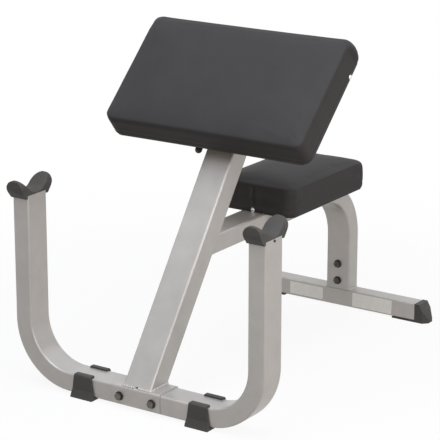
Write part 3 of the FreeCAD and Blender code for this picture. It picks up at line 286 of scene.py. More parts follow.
# %% [markdown]
# ## Finishes on the CAD solids
# The record already says which slot each solid belongs to, so the finish follows the slot.
# Moulded rubber, folded sheet and forged heads have no knife edges. A Weld modifier joins the split corners
# of the imported mesh and a Bevel modifier rounds its sharp edges, which leaves the solids themselves alone.

# %% Paint the solids and ease their edges
SLOT_FINISH = {
    "frame_paint": powder_coat,
    "black_rubber": rubber,
    "dark_vinyl": vinyl,
    "plywood": plywood,
    "dark_steel": finishes["black_oxide_steel"],
    "zinc_steel": finishes["zinc_plated_steel"],
    "black_plastic": finishes["moulded_nylon"],
}
EASE_MM = {
    "left_bar_catch": 2.2, "right_bar_catch": 2.2, "left_clip_foot": 1.6, "right_clip_foot": 1.6,
    "left_end_cap": 2.0, "right_end_cap": 2.0, "saddle_bolts": 0.7, "leg_bolts": 0.7,
    "saddle_nuts": 0.6, "leg_nuts": 0.6, "saddle_washers": 0.4, "leg_washers": 0.4,
    "post_guide": 0.8, "lock_nut": 0.8, "lower_pad_bolts": 0.5,
    "upper_pad_bolts": 0.5, "seat_bolts": 0.5, "pad_upper_bracket": 0.6, "seat_board": 0.8,
    "arm_pad_board": 0.8, "leg_stub": 0.6,
}
WELD_GAP_MM = 0.01
EASE_STEPS = 3
SHARP_FROM = math.radians(35)


def ease_edges(piece, width_mm):
    """Round the sharp edges of a mesh by modifiers alone."""
    weld = piece.modifiers.new("weld", "WELD")
    weld.merge_threshold = WELD_GAP_MM * MM
    bevel = piece.modifiers.new("ease", "BEVEL")
    bevel.width = width_mm * MM
    bevel.segments = EASE_STEPS
    bevel.limit_method = "ANGLE"
    bevel.angle_limit = SHARP_FROM
    bevel.harden_normals = True


for entry in frame["record"]["subparts"]:
    piece = nodes[entry["node"]]
    for material_slot in piece.material_slots:
        material_slot.material = SLOT_FINISH[entry["material_slot"]]
# The saddle's bolts take the paler black-oxide copy, which paints in the light falling on them.
for material_slot in nodes["saddle_bolts"].material_slots:
    material_slot.material = finishes["lit_black_oxide_steel"]
for name, width_mm in EASE_MM.items():
    ease_edges(nodes[name], width_mm)

# %% [markdown]
# ## Soft cushions
# Each pad is foam on a board with vinyl pulled tight round it and stapled behind. The CAD cushion has the
# right outline, but it is as crisp as plastic and hollow where its board sits. Its convex hull is the filled
# form. That form is remeshed into even quads, shrunk a little and blown up again as cloth, while the rim by
# the board is held still. Blowing up evens out the edges in the way that foam does.
# Each pad has a frame of its own: X across, Y along from the front or lower edge, Z out of the board.

# %% Filled forms
PAD_SLOPE = math.radians(44.3)
SEAT_FRAME = Matrix.Translation((0, 0.018, 0.3935))
PAD_FRAME = Matrix.Translation((0, -0.186, 0.6098)) @ Matrix.Rotation(PAD_SLOPE, 4, "X")
CUSHIONS = {
    "seat": {"node": "seat_cushion", "body": "frame", "frame": SEAT_FRAME, "wide": 0.248, "long": 0.389,
             "corner": 0.028, "tall": 0.080, "roll": 0.0045, "flare": 0},
    "arm_pad": {"node": "arm_pad_cushion", "body": "arm_pad", "frame": PAD_FRAME, "wide": 0.609,
                "long": 0.337, "corner": 0.026, "tall": 0.077, "roll": 0.0105, "flare": 0.004},
}
VOXEL = 0.006
RELAX_STEPS = 2
RELAX_SHARE = 0.5


def mesh_with_modifiers(piece):
    """The mesh that a piece has once its modifiers are applied."""
    depsgraph = bpy.context.evaluated_depsgraph_get()
    return bpy.data.meshes.new_from_object(piece.evaluated_get(depsgraph))


def set_mesh(piece, mesh):
    """Give a piece a finished mesh in place of its modifiers."""
    piece.modifiers.clear()
    piece.data = mesh


for kind, pad in CUSHIONS.items():
    builder = bmesh.new()
    for vertex in nodes[pad["node"]].data.vertices:
        builder.verts.new(vertex.co)
    hull = bmesh.ops.convex_hull(builder, input=builder.verts)
    spare = hull["geom_interior"] + hull["geom_unused"]
    loose = {item for item in spare if isinstance(item, bmesh.types.BMVert)}
    bmesh.ops.delete(builder, geom=list(loose), context="VERTS")
    mesh = bpy.data.meshes.new(kind + "_vinyl")
    builder.to_mesh(mesh)
    builder.free()
    piece = bpy.data.objects.new(kind + "_vinyl", mesh)
    bpy.context.scene.collection.objects.link(piece)
    remesh = piece.modifiers.new("even", "REMESH")
    remesh.mode = "VOXEL"
    remesh.voxel_size = VOXEL
    relax = piece.modifiers.new("relax", "SMOOTH")
    relax.iterations = RELAX_STEPS
    relax.factor = RELAX_SHARE
    set_mesh(piece, mesh_with_modifiers(piece))
    pad["piece"] = piece
    print(piece.name, len(piece.data.vertices), "points")

# %% [markdown]
# ## Cloth
# A vertex group holds the rim, because the vinyl is stapled there and can't move. Pressure does the rest over
# twenty frames. Then each point is drawn back towards the form: the further it moved, the less of the move it
# keeps, so that no edge shows where the limit sets in.

# %% Blow the cushions up as cloth
BOARD_THICK = 0.018
SHRINK = 0.0025
SOFT_LIMIT = 0.0022
CLOTH_FRAMES = 20
FREE_FROM = BOARD_THICK + 0.02


def smooth(low, high, number):
    """0 below low, 1 above high, and a smooth step between them."""
    share = min(max((number - low) / (high - low), 0), 1)
    return share * share * (3 - 2 * share)


def blow_up(piece, to_local):
    """Shrink the free part of a piece and fill it again by pressure, with its rim held."""
    held = piece.vertex_groups.new(name="held")
    for vertex in piece.data.vertices:
        grip = 1 - smooth(BOARD_THICK, FREE_FROM, (to_local @ vertex.co).z)
        held.add([vertex.index], grip, "REPLACE")
        vertex.co -= vertex.normal * SHRINK * (1 - grip)
    cloth = piece.modifiers.new("cloth", "CLOTH")
    cloth.settings.quality = 3
    cloth.settings.mass = 0.25
    cloth.settings.tension_stiffness = 18
    cloth.settings.compression_stiffness = 18
    cloth.settings.shear_stiffness = 8
    cloth.settings.bending_stiffness = 2
    cloth.settings.use_pressure = True
    cloth.settings.uniform_pressure_force = 4
    cloth.settings.vertex_group_mass = "held"
    cloth.settings.effector_weights.gravity = 0
    cloth.point_cache.frame_end = CLOTH_FRAMES
    for step in range(1, CLOTH_FRAMES + 1):
        bpy.context.scene.frame_set(step)
    set_mesh(piece, mesh_with_modifiers(piece))
    bpy.context.scene.frame_set(1)
    piece.vertex_groups.clear()


for kind, pad in CUSHIONS.items():
    piece = pad["piece"]
    form = [vertex.co.copy() for vertex in piece.data.vertices]
    blow_up(piece, pad["frame"].inverted())
    most = 0
    for vertex, start in zip(piece.data.vertices, form):
        move = vertex.co - start
        most = max(most, move.length)
        vertex.co = start + move / (1 + move.length / SOFT_LIMIT)
    fine = piece.modifiers.new("fine", "SUBSURF")
    fine.levels = 1
    fine.render_levels = 1
    set_mesh(piece, mesh_with_modifiers(piece))
    print(piece.name, len(piece.data.vertices), "points, largest move", round(most / MM, 1), "mm")

# %% [markdown]
# ## Pleats and rolled ends
# Now the upholsterer's marks. Every mark is a small move of the surface along its normal, written as a
# function of the place in the pad's own frame. Sculpting could give them too, but a function can be read
# and changed. The vinyl gathers in pleats at the corners, and the far ends roll over.

# %% Pleats and rolled ends
PLEAT_DEEP = 0.0006
PLEATS_PER_TURN = 22
PLEAT_FADES = (0.002, 0.045)
ROLL_REACH = 0.032
FLARE_REACH = 0.03
END_SKIN = 0.006


def corner_pleats(x, y, z, pad):
    """Pleats where the vinyl is gathered round a corner, deepest at the board."""
    across = abs(x) - (pad["wide"] / 2 - pad["corner"])
    along = abs(y - pad["long"] / 2) - (pad["long"] / 2 - pad["corner"])
    if across <= 0 or along <= 0:
        return 0
    turn = math.atan2(along, across)
    fade = math.sin(2 * turn) * (1 - smooth(*PLEAT_FADES, z))
    return -PLEAT_DEEP * fade * (1 + math.cos(turn * PLEATS_PER_TURN)) / 2


def rolled_ends(y, z, pad):
    """A pad's far end rolls over like a bolster, and the arm pad's lower end flares towards the board."""
    height = z / pad["tall"]
    upper = smooth(pad["long"] - ROLL_REACH, pad["long"] - END_SKIN, y)
    lower = 1 - smooth(END_SKIN, FLARE_REACH, y)
    return pad["roll"] * upper * (1 - (2 * height - 1) ** 2) + pad["flare"] * lower * (1 - height)


pad_roll = rolled_ends(CUSHIONS["arm_pad"]["long"], CUSHIONS["arm_pad"]["tall"] / 2, CUSHIONS["arm_pad"])
print("the arm pad's far end rolls out by", round(pad_roll / MM, 1), "mm")

# %% [markdown]
# ## The seat's crease
# The seat's front has a crease down its middle, where the foam is pulled in between two soft swellings, and a
# shallow fold that runs off it to the right. The crease is shallower over the board, which doesn't give.
# Bell curves draw all three, because they have no edge where they end.

# %% The seat's crease
FRONT_SKIN = (0.012, 0.03)
CREASE_DEEP = 0.0046
CREASE_WIDE = 0.0042
CREASE_SWAY = 0.0015
SWAYS_PER_METRE = 90
CREASE_STARTS = (0.004, 0.014)
CREASE_ENDS = (0.008, 0.018)
BOARD_SHARE = 0.45
BOARD_FADE = 0.012
SWELL_HIGH = 0.0012
SWELL_ASIDE = 0.014
SWELL_WIDE = 0.009
FOLD_DEEP = 0.0011
FOLD_WIDE = 0.0035
FOLD_STARTS = (-0.004, 0.004)
FOLD_ENDS = (0.05, 0.1)
FOLD_BELOW_TOP = 0.0165
FOLD_SLOPE = 0.03


def bell(number, width):
    """1 at zero, and falling smoothly to 0 on both sides."""
    return math.exp(-(number / width) ** 2)


def seat_crease(x, y, z, pad):
    """The crease between its swellings, and the fold beside it."""
    from_top = pad["tall"] - z
    front = 1 - smooth(*FRONT_SKIN, y)
    above_board = BOARD_SHARE + (1 - BOARD_SHARE) * smooth(BOARD_THICK, BOARD_THICK + BOARD_FADE, z)
    height = above_board * smooth(*CREASE_STARTS, z) * smooth(*CREASE_ENDS, from_top)
    crease = -CREASE_DEEP * bell(x - CREASE_SWAY * math.sin(z * SWAYS_PER_METRE), CREASE_WIDE)
    swell = SWELL_HIGH * bell(abs(x) - SWELL_ASIDE, SWELL_WIDE)
    run = smooth(*FOLD_STARTS, x) * (1 - smooth(*FOLD_ENDS, x))
    fold = -FOLD_DEEP * run * bell(FOLD_BELOW_TOP + x * FOLD_SLOPE - from_top, FOLD_WIDE)
    return front * (height * (crease + swell) + fold)


seat = CUSHIONS["seat"]
print("crease at half height", round(seat_crease(0, 0, seat["tall"] / 2, seat) / MM, 1), "mm")

# %% [markdown]
# ## All marks together
# Two more marks belong to every pad: the sides draw in between the corners, and the board's edge shows as a
# faint line. The upper edges fill out where the vinyl is stretched over the foam's corner, and a slow noise
# keeps the faces from looking machined. The back lies flat on the board and steps in from the rim.

# %% Press in the marks
DRAW_IN = 0.0015
SIDE_FACING = (0.35, 0.8)
EDGE_LINE_DEEP = 0.0011
EDGE_LINE_WIDE = 0.004
EDGE_LINE_LIFT = 0.001
EDGE_FILL = 0.0022
FILL_FACING = 0.7
FILL_SPREAD = 0.22
FILL_FADES = (0.02, 0.05)
WANDER = 0.0003
WANDER_SIZE = 0.09
WANDER_FROM = BOARD_THICK + 0.01
BACK_FACING = -0.7
BACK_GAP = 0.0015
RIM = 0.008
RIM_STEP = 0.003


def all_marks(spot, facing, kind, pad):
    """How far a point moves along its normal."""
    x, y, z = spot
    if facing.z < BACK_FACING:
        inside = min(pad["wide"] / 2 - abs(x), pad["long"] / 2 - abs(y - pad["long"] / 2))
        return -BACK_GAP * smooth(RIM - RIM_STEP, RIM, inside)
    share = y / pad["long"] * 2 - 1 if abs(facing.x) > abs(facing.y) else x / pad["wide"] * 2
    push = corner_pleats(x, y, z, pad) + rolled_ends(y, z, pad) - DRAW_IN * (1 - share ** 2)
    push -= EDGE_LINE_DEEP * bell(z - BOARD_THICK - EDGE_LINE_LIFT, EDGE_LINE_WIDE)
    if kind == "seat":
        push += seat_crease(x, y, z, pad)
    push *= 1 - smooth(*SIDE_FACING, abs(facing.z))
    fill = EDGE_FILL * bell(facing.z - FILL_FACING, FILL_SPREAD)
    return push + fill * smooth(*FILL_FADES, pad["long"] - y)


def shade_smooth(piece):
    """Shade a piece as one smooth surface."""
    for face in piece.data.polygons:
        face.use_smooth = True


for kind, pad in CUSHIONS.items():
    piece = pad["piece"]
    mesh = piece.data
    to_local = pad["frame"].inverted()
    turned = to_local.to_3x3()
    moved = []
    for vertex in mesh.vertices:
        spot = to_local @ vertex.co
        push = all_marks(spot, turned @ vertex.normal, kind, pad)
        if spot.z > WANDER_FROM:
            push += WANDER * noise.noise(vertex.co / WANDER_SIZE)
        moved.append(vertex.co + vertex.normal * push)
    for vertex, place in zip(mesh.vertices, moved):
        vertex.co = place
    shade_smooth(piece)
    mesh.materials.clear()
    mesh.materials.append(vinyl)
    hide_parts(pad["node"])
    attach(piece, pad["body"])
    print(piece.name, "rides", pad["body"])

# %% [markdown]
# ## Vents
# The rest is small: each piece is drawn in plain mesh code, takes one finish and rides on one body, and one
# helper does that bookkeeping.
# Foam breathes through small plated eyelets. One sits on the arm pad's right side near its board, and one at
# the foot of the crease on the seat's front. Each is a rolled ring round a domed cap, so a profile is spun
# round an axis. A Screw modifier could spin it too, but mesh code leaves one clean point on the axis.

# %% Vents
VENT_PROFILE_MM = ((0, -1.5), (6.0, -1.5), (6.3, 0.0), (6.0, 0.8), (5.3, 1.2), (4.6, 1.0), (4.2, 0.6),
                   (3.6, 1.3), (2.6, 2.0), (1.4, 2.4), (0, 2.5))
VENTS = {
    "seat_vent": (SEAT_FRAME, (0, 0.0028, 0.0058), "X", "frame"),
    "arm_pad_vent": (PAD_FRAME, (0.3035, 0.267, 0.0075), "Y", "arm_pad"),
}


def new_piece(name, mesh_builder, material, body, place=Matrix.Identity(4)):
    """Turn a bmesh into an object with a finish, riding on a body."""
    mesh_builder.transform(place)
    bmesh.ops.recalc_face_normals(mesh_builder, faces=mesh_builder.faces)
    mesh = bpy.data.meshes.new(name)
    mesh_builder.to_mesh(mesh)
    mesh_builder.free()
    mesh.materials.append(material)
    piece = bpy.data.objects.new(name, mesh)
    bpy.context.scene.collection.objects.link(piece)
    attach(piece, body)
    return piece


def spin_profile(builder, profile, steps=32):
    """A closed round piece about Z from (radius, height) points that start and end on the axis."""
    rings = []
    for radius, height in profile:
        if radius == 0:
            rings.append([builder.verts.new((0, 0, height))])
            continue
        turns = [math.tau * step / steps for step in range(steps)]
        rings.append([builder.verts.new((radius * math.cos(turn), radius * math.sin(turn), height))
                      for turn in turns])
    for lower, upper in zip(rings, rings[1:]):
        for step in range(steps):
            after = (step + 1) % steps
            corners = [lower[step % len(lower)], lower[after % len(lower)],
                       upper[after % len(upper)], upper[step % len(upper)]]
            builder.faces.new(list(dict.fromkeys(corners)))


for name, (pad_frame, spot, turned_about, body) in VENTS.items():
    builder = bmesh.new()
    spin_profile(builder, [(radius * MM, height * MM) for radius, height in VENT_PROFILE_MM])
    place = pad_frame @ Matrix.Translation(spot) @ Matrix.Rotation(math.radians(90), 4, turned_about)
    piece = new_piece(name, builder, finishes["nickel_plate"], body, place)
    shade_smooth(piece)
    print(name, "on", body)

# %% [markdown]
# ## Lines to follow
# Weld beads, hems and staples all follow a line: round a tube's section, or round a pad's outline. So there
# is one function for a rounded rectangle, one that walks a line in even steps, and one that lays a tube along
# it. A bevelled curve could lay the tube too. Mesh code is used because it gives closed meshes with even
# faces.

# %% Lines and tubes
NEARLY_UPRIGHT = 0.95


def rounded_loop(half_wide, half_long, radius, steps=6):
    """The corners of a rounded rectangle about the origin, in X and Y."""
    corners = []
    for quarter in range(4):
        sign_x = 1 if quarter in (0, 3) else -1
        sign_y = 1 if quarter in (0, 1) else -1
        centre = Vector((sign_x * (half_wide - radius), sign_y * (half_long - radius), 0))
        for step in range(steps + 1):
            turn = math.pi / 2 * (quarter + step / steps)
            corners.append(centre + Vector((math.cos(turn), math.sin(turn), 0)) * radius)
    return corners


def runs_of(corners, closed):
    """The straight runs between the corners of a line, and their length together."""
    ends = corners[1:] + corners[:1] if closed else corners[1:]
    runs = list(zip(corners, ends))
    return runs, sum((end - start).length for start, end in runs)


def walk(corners, closed, step):
    """Points at even steps along the line through the corners."""
    runs, length = runs_of(corners, closed)
    count = max(round(length / step), 1)
    points = []
    for index in range(count):
        left = length * index / count
        for start, end in runs:
            run = (end - start).length
            if left <= run:
                break
            left -= run
        points.append(start.lerp(end, left / run))
    return points if closed else points + [corners[-1]]


def tube_along(builder, points, radius_at, closed=False, sides=8):
    """A tube of changing radius along a line of points, closed at its ends unless it is a loop."""
    count = len(points)
    turns = [math.tau * side / sides for side in range(sides)]
    rings = []
    for index, point in enumerate(points):
        before = points[index - 1] if closed or index else point
        after = points[(index + 1) % count] if closed or index < count - 1 else point
        ahead = (after - before).normalized()
        upright = abs(ahead.z) > NEARLY_UPRIGHT
        aside = ahead.orthogonal().normalized() if upright else ahead.cross((0, 0, 1)).normalized()
        above = aside.cross(ahead)
        radius = radius_at(index)
        rings.append([builder.verts.new(point + (aside * math.cos(turn) + above * math.sin(turn)) * radius)
                      for turn in turns])
    for index in range(count if closed else count - 1):
        lower, upper = rings[index], rings[(index + 1) % count]
        for side in range(sides):
            after = (side + 1) % sides
            builder.faces.new((lower[side], lower[after], upper[after], upper[side]))
    if not closed:
        builder.faces.new(rings[0][::-1])
        builder.faces.new(rings[-1])


seat_round = runs_of(rounded_loop(seat["wide"] / 2, seat["long"] / 2, seat["corner"]), True)[1]
print("round the seat", round(seat_round, 3), "m")

# %% [markdown]
# ## Weld beads
# The steel pieces are joined by arc welds under the paint. A bead is a line of overlapping puddles, so it is
# a thin tube whose radius swells and shrinks every few millimetres. The path of each bead follows the line
# where two tubes meet. The bead round the column's foot stops on both sides of the drain notch in front.

# %% Bead at the column's foot
PUDDLE_MM = 7.5
PUDDLE_SWELL = 0.24
BEAD_STEP = 0.0015
FOOT_BEAD_RADIUS = 0.0036
COLUMN_LEAN = math.radians(35)
COLUMN_DEEP = 0.063
TUBE_CORNER = 0.005
NOTCH_HALF = 0.0065


def weld_bead(name, corners, closed, radius):
    """A bead of puddles along a line on the frame."""
    points = walk(corners, closed, BEAD_STEP)
    puddle_turn = math.tau * BEAD_STEP / (PUDDLE_MM * MM)
    swells = [1 + PUDDLE_SWELL * math.cos(puddle_turn * index) for index in range(len(points))]
    builder = bmesh.new()
    tube_along(builder, points, lambda index: radius * swells[index], closed)
    piece = new_piece(name, builder, powder_coat, "frame")
    shade_smooth(piece)
    print(name, len(points), "steps")


column_low, column_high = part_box("column")
foot_deep = COLUMN_DEEP / math.cos(COLUMN_LEAN)
foot_middle = Vector((0, column_low.y + foot_deep / 2, column_low.z))
foot_loop = rounded_loop(column_high.x, foot_deep / 2, TUBE_CORNER)
quarter = len(foot_loop) // 4
notch_right, notch_left = (Vector((x, -foot_deep / 2, 0)) for x in (NOTCH_HALF, -NOTCH_HALF))
foot_run = [notch_right] + foot_loop[-quarter:] + foot_loop[:-quarter] + [notch_left]
weld_bead("column_foot_weld", [corner + foot_middle for corner in foot_run], False, FOOT_BEAD_RADIUS)

# %% [markdown]
# ## The other beads
# The beam's end is cut to the column's lean, so its bead is a rounded rectangle laid on the column's back.
# Two straight beads hold the leg's stub to the rear foot, and a ring holds the lock nut to the column.

# %% Beads of the beam, the stub and the nut
BEAD_RADIUS = 0.0026
NUT_BEAD_RADIUS = 0.002
NUT_RING_RADIUS = 0.0122
NUT_RING_STEPS = 40
BEAM_HALF_WIDE = 0.0375
BEAM_HALF_TALL = 0.025
STUB_BEAD_INSET = 0.004


def column_back(up):
    """Where the column's back is along Y at a height."""
    return column_low.y + foot_deep + (up - column_low.z) * math.tan(COLUMN_LEAN)


beam_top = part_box("seat_beam")[1].z
beam_line = []
for corner in rounded_loop(BEAM_HALF_WIDE, BEAM_HALF_TALL, TUBE_CORNER):
    up = beam_top - BEAM_HALF_TALL + corner.y
    beam_line.append(Vector((corner.x, column_back(up), up)))
weld_bead("beam_weld", beam_line, True, BEAD_RADIUS)
foot_low, foot_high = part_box("rear_foot")
stub_ends = (foot_low.y + STUB_BEAD_INSET, foot_high.y - STUB_BEAD_INSET)
for side, word in ((-1, "left"), (1, "right")):
    line = [Vector((side * BEAM_HALF_WIDE, y, foot_high.z)) for y in stub_ends]
    weld_bead(word + "_stub_weld", line, False, BEAD_RADIUS)
nut_low, nut_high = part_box("lock_nut")
nut_middle = (nut_low + nut_high) / 2
nut_line = []
for step in range(NUT_RING_STEPS):
    turn = math.tau * step / NUT_RING_STEPS
    nut_line.append(Vector((nut_high.x, nut_middle.y + NUT_RING_RADIUS * math.cos(turn),
                            nut_middle.z + NUT_RING_RADIUS * math.sin(turn))))
weld_bead("lock_nut_weld", nut_line, True, NUT_BEAD_RADIUS)

# %% [markdown]
# ## Vinyl hem
# Behind each board the vinyl is folded over. The hem is a flat ring whose inner edge is slightly uneven,
# because it is cut by hand. A noise along the ring gives that.

# %% Hem
HEM_INSET = 0.0035
HEM_WIDE = 0.0245
HEM_THICK = 0.0009
HEM_TOP = 0.0022
HEM_POINTS = 220
HEM_LEAST_CORNER = 0.008
HEM_UNEVEN = 0.1
HEM_WAVES_PER_METRE = 60


def ring_points(pad, inset, count):
    """Even points round a pad's rounded outline, in its own frame."""
    half_wide, half_long = pad["wide"] / 2 - inset, pad["long"] / 2 - inset
    loop = rounded_loop(half_wide, half_long, max(pad["corner"] - inset, HEM_LEAST_CORNER))
    points = walk(loop, True, runs_of(loop, True)[1] / count)
    return [point + Vector((0, pad["long"] / 2, 0)) for point in points]


def inner_point(point, pad):
    """The point of a hem's inner edge that belongs to one of its outer edge."""
    centre = Vector((0, pad["long"] / 2, 0))
    offset = point - centre
    wide = HEM_WIDE * (1 + HEM_UNEVEN * noise.noise(point * HEM_WAVES_PER_METRE))
    offset.x *= 1 - wide / (pad["wide"] / 2 - HEM_INSET)
    offset.y *= 1 - wide / (pad["long"] / 2 - HEM_INSET)
    return centre + offset


def add_hem(kind, pad):
    """A flat closed ring along a pad's rim."""
    outer = ring_points(pad, HEM_INSET, HEM_POINTS)
    inner = [inner_point(point, pad) for point in outer]
    builder = bmesh.new()
    rings = []
    for line, height in ((outer, HEM_TOP), (outer, -HEM_THICK), (inner, -HEM_THICK), (inner, HEM_TOP)):
        rings.append([builder.verts.new(point + Vector((0, 0, height))) for point in line])
    for first, second in zip(rings, rings[1:] + rings[:1]):
        for index in range(len(outer)):
            after = (index + 1) % len(outer)
            builder.faces.new((first[index], first[after], second[after], second[index]))
    shade_smooth(new_piece(kind + "_hem", builder, vinyl, pad["body"], pad["frame"]))


hem_ends = [tuple(round(number / MM) for number in inner_point(Vector((seat["wide"] / 2, y, 0)), seat))
            for y in (0, seat["long"])]
print("inner corners of the seat's hem in mm", hem_ends)

# %% [markdown]
# ## Staples
# A staple gun fixes the hem. Each staple is a short wire that lies on the vinyl with its two ends pressed
# into the board, so a thin tube follows five points, listed as shares of its length with their heights.

# %% Hem and staples on each pad
STAPLE_GAP = 0.034
STAPLE_LONG = 0.0095
STAPLE_RADIUS = 0.0006
STAPLE_LINE = HEM_INSET + HEM_WIDE * 0.6
STAPLE_BEND = ((-0.5, 0.0008), (-0.46, -HEM_THICK - 0.0004), (0, -HEM_THICK - 0.0006),
               (0.46, -HEM_THICK - 0.0004), (0.5, 0.0008))


def add_staples(kind, pad):
    """A row of staples along the hem, and how many there are."""
    line = ring_points(pad, STAPLE_LINE, int(2 * (pad["wide"] + pad["long"]) / STAPLE_GAP))
    builder = bmesh.new()
    for index, point in enumerate(line):
        ahead = (line[(index + 1) % len(line)] - line[index - 1]).normalized()
        wire = [point + ahead * share * STAPLE_LONG + Vector((0, 0, lift)) for share, lift in STAPLE_BEND]
        tube_along(builder, wire, lambda index: STAPLE_RADIUS, sides=6)
    zinc = finishes["zinc_plated_steel"]
    shade_smooth(new_piece(kind + "_staples", builder, zinc, pad["body"], pad["frame"]))
    return len(line)


for kind, pad in CUSHIONS.items():
    add_hem(kind, pad)
    print(kind, "staples", add_staples(kind, pad))

# %% [markdown]
# ## Bare plates on the rear foot
# The front of the rear foot carries two thin pale foil plates. Each is a rounded sheet 0.4 mm thick with an
# eased front edge, built from three rings that step out of the tube's face.

# %% Bare plates
PLATES = {
    "left_foil_plate": (-0.161, -0.049, 0.011, 0.0475),
    "right_foil_plate": (0.050, 0.179, 0.0095, 0.0505),
}
PLATE_CORNER = 0.003
# Each ring's share of the plate's width and height, and its place along Y from the tube's face.
PLATE_RINGS = ((1, 1, 0.0001), (1, 1, -0.00024), (0.994, 0.98333, -0.0004))
for name, (left, right, low, high) in PLATES.items():
    builder = bmesh.new()
    middle = Vector(((left + right) / 2, foot_low.y, (low + high) / 2))
    loop = rounded_loop((right - left) / 2, (high - low) / 2, PLATE_CORNER)
    rings = []
    for wide, tall, depth in PLATE_RINGS:
        rings.append([builder.verts.new(middle + Vector((corner.x * wide, depth, corner.y * tall)))
                      for corner in loop])
    for first, second in zip(rings, rings[1:]):
        for index in range(len(loop)):
            after = (index + 1) % len(loop)
            builder.faces.new((first[index], first[after], second[after], second[index]))
    builder.faces.new(rings[0])
    builder.faces.new(rings[-1])
    new_piece(name, builder, finishes["plain_foil"], "frame")
    print(name, round((right - left) / MM), "x", round((high - low) / MM), "mm")

# %% [markdown]
# ## Studio floor
# The floor is white paper. For the camera it glows at the strength of white, with a share of real shading
# left in, so that it stays pale and still keeps the bench's shadow. Light that bounces from it to the bench
# is duller and warmer, as from a sheet that lies on a wooden floor.

# %% Floor
GLOW_NEAR = 0.91
SHADE_FROM = 0.5
SHADE_REACH = 1.9
FLOOR_HALF = 14

paper = bpy.data.materials.new("white_paper")
paper.use_nodes = True
paper.node_tree.nodes.clear()
glow = add_node(paper, "ShaderNodeEmission", {"Color": srgb("#ffffff"), "Strength": 1.0})
ray = add_node(paper, "ShaderNodeLightPath")
seen = add_node(paper, "ShaderNodeMath", {"operation": "ADD", "use_clamp": True},
                {0: ray.outputs["Is Camera Ray"], 1: ray.outputs["Is Glossy Ray"]})
seen = add_node(paper, "ShaderNodeMath", {"operation": "ADD", "use_clamp": True},
                {0: seen.outputs[0], 1: ray.outputs["Is Transmission Ray"]})
bounce = add_node(paper, "ShaderNodeMix", {"data_type": "RGBA", 6: srgb("#84745f"), 7: srgb("#f4f4f4")},
                  {0: seen.outputs[0]})
matte = add_node(paper, "ShaderNodeBsdfDiffuse", links={"Color": bounce.outputs[2]})
place = add_node(paper, "ShaderNodeTexCoord").outputs["Object"]
away = add_node(paper, "ShaderNodeVectorMath", {"operation": "LENGTH"}, {0: place})
near = add_node(paper, "ShaderNodeMapRange",
                {"interpolation_type": "SMOOTHSTEP", "From Min": SHADE_FROM, "From Max": SHADE_REACH,
                 "To Min": GLOW_NEAR, "To Max": 1.0}, {"Value": away.outputs["Value"]})
share = add_node(paper, "ShaderNodeMath", {"operation": "MULTIPLY"},
                 {0: seen.outputs[0], 1: near.outputs[0]})
blend = add_node(paper, "ShaderNodeMixShader",
                 links={0: share.outputs[0], 1: matte.outputs[0], 2: glow.outputs[0]})
add_node(paper, "ShaderNodeOutputMaterial", links={"Surface": blend.outputs[0]})

builder = bmesh.new()
bmesh.ops.create_grid(builder, x_segments=1, y_segments=1, size=FLOOR_HALF)
floor_mesh = bpy.data.meshes.new("floor")
builder.to_mesh(floor_mesh)
builder.free()
floor_mesh.materials.append(paper)
floor = bpy.data.objects.new("floor", floor_mesh)
bpy.context.scene.collection.objects.link(floor)
print("floor shows its shade within", SHADE_REACH, "m")

# %% [markdown]
# ## Surroundings
# The room behind is plain white to the camera and in reflections, and lights the bench only weakly, so that
# the lamps shape it.

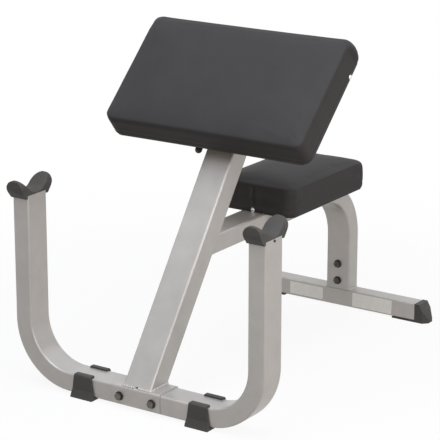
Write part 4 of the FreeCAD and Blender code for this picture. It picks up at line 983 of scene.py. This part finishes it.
# %% World
WORLD_LIGHT = 0.12
world = bpy.data.worlds.new("studio")
bpy.context.scene.world = world
world.use_nodes = True
world.node_tree.nodes.clear()
ray = add_node(world, "ShaderNodeLightPath")
seen = add_node(world, "ShaderNodeMath", {"operation": "ADD", "use_clamp": True},
                {0: ray.outputs["Is Camera Ray"], 1: ray.outputs["Is Glossy Ray"]})
seen = add_node(world, "ShaderNodeMath", {"operation": "ADD", "use_clamp": True},
                {0: seen.outputs[0], 1: ray.outputs["Is Transmission Ray"]})
strength = add_node(world, "ShaderNodeMapRange", {"To Min": WORLD_LIGHT, "To Max": 1.0},
                    {"Value": seen.outputs[0]})
sky = add_node(world, "ShaderNodeBackground", {"Color": srgb("#ffffff")}, {"Strength": strength.outputs[0]})
add_node(world, "ShaderNodeOutputWorld", links={"Surface": sky.outputs[0]})
print("world light", WORLD_LIGHT)

# %% [markdown]
# ## Lamps
# A product studio hangs wide soft boxes above and in front, with weaker ones at the side and behind, so that
# edges stay readable and undersides go dark. Large area lamps do the same here. Those above and in front are
# a touch cool, those at the side a touch warm, and the warm floor fills the shadows from below.
# The table gives each lamp's place and size in metres, its power in watts and its tint.

# %% Lamps
LAMPS = {
    "top": ((0.0, -0.5, 3.1), 2.4, 49, "#f4f8ff"),
    "front": ((0.1, -2.7, 3.5), 2.0, 36, "#eaf2ff"),
    "front_right": ((1.8, -2.0, 1.25), 1.5, 13, "#fff9f3"),
    "right": ((2.9, -0.8, 1.6), 1.5, 38, "#fff9f3"),
    "left": ((-3.0, 0.3, 2.0), 2.0, 6, "#ffffff"),
    "back": ((1.2, 3.2, 2.2), 2.0, 14, "#ffffff"),
}
AIM = Vector((0, -0.1, 0.45))
for name, (place, size, power, tint) in LAMPS.items():
    lamp = bpy.data.lights.new(name, "AREA")
    lamp.size = size
    lamp.energy = power
    lamp.color = srgb(tint)[:3]
    holder = bpy.data.objects.new(name, lamp)
    holder.location = place
    holder.rotation_euler = (AIM - Vector(place)).to_track_quat("-Z", "Y").to_euler()
    bpy.context.scene.collection.objects.link(holder)
print("lamps", list(LAMPS))

# %% [markdown]
# ## Camera
# The photograph was taken with a long lens from the front right, a little above the bench. Its place, lens
# and shift were worked out from the known right angles of the frame.

# %% Camera
EYE = Vector((2.7531, -4.2267, 1.8606))
TARGET = Vector((-0.01697, -0.1335, 0.41692))
view = bpy.data.cameras.new("camera")
view.sensor_width = 36
view.lens = 161.5
view.shift_x = 0.0107
view.shift_y = -0.0091
view.clip_end = 60
camera = bpy.data.objects.new("camera", view)
camera.location = EYE
camera.rotation_euler = (TARGET - EYE).to_track_quat("-Z", "Y").to_euler()
bpy.context.scene.collection.objects.link(camera)
bpy.context.scene.camera = camera
bpy.context.scene.view_settings.view_transform = "Standard"
print("camera distance", round((TARGET - EYE).length, 3), "m")
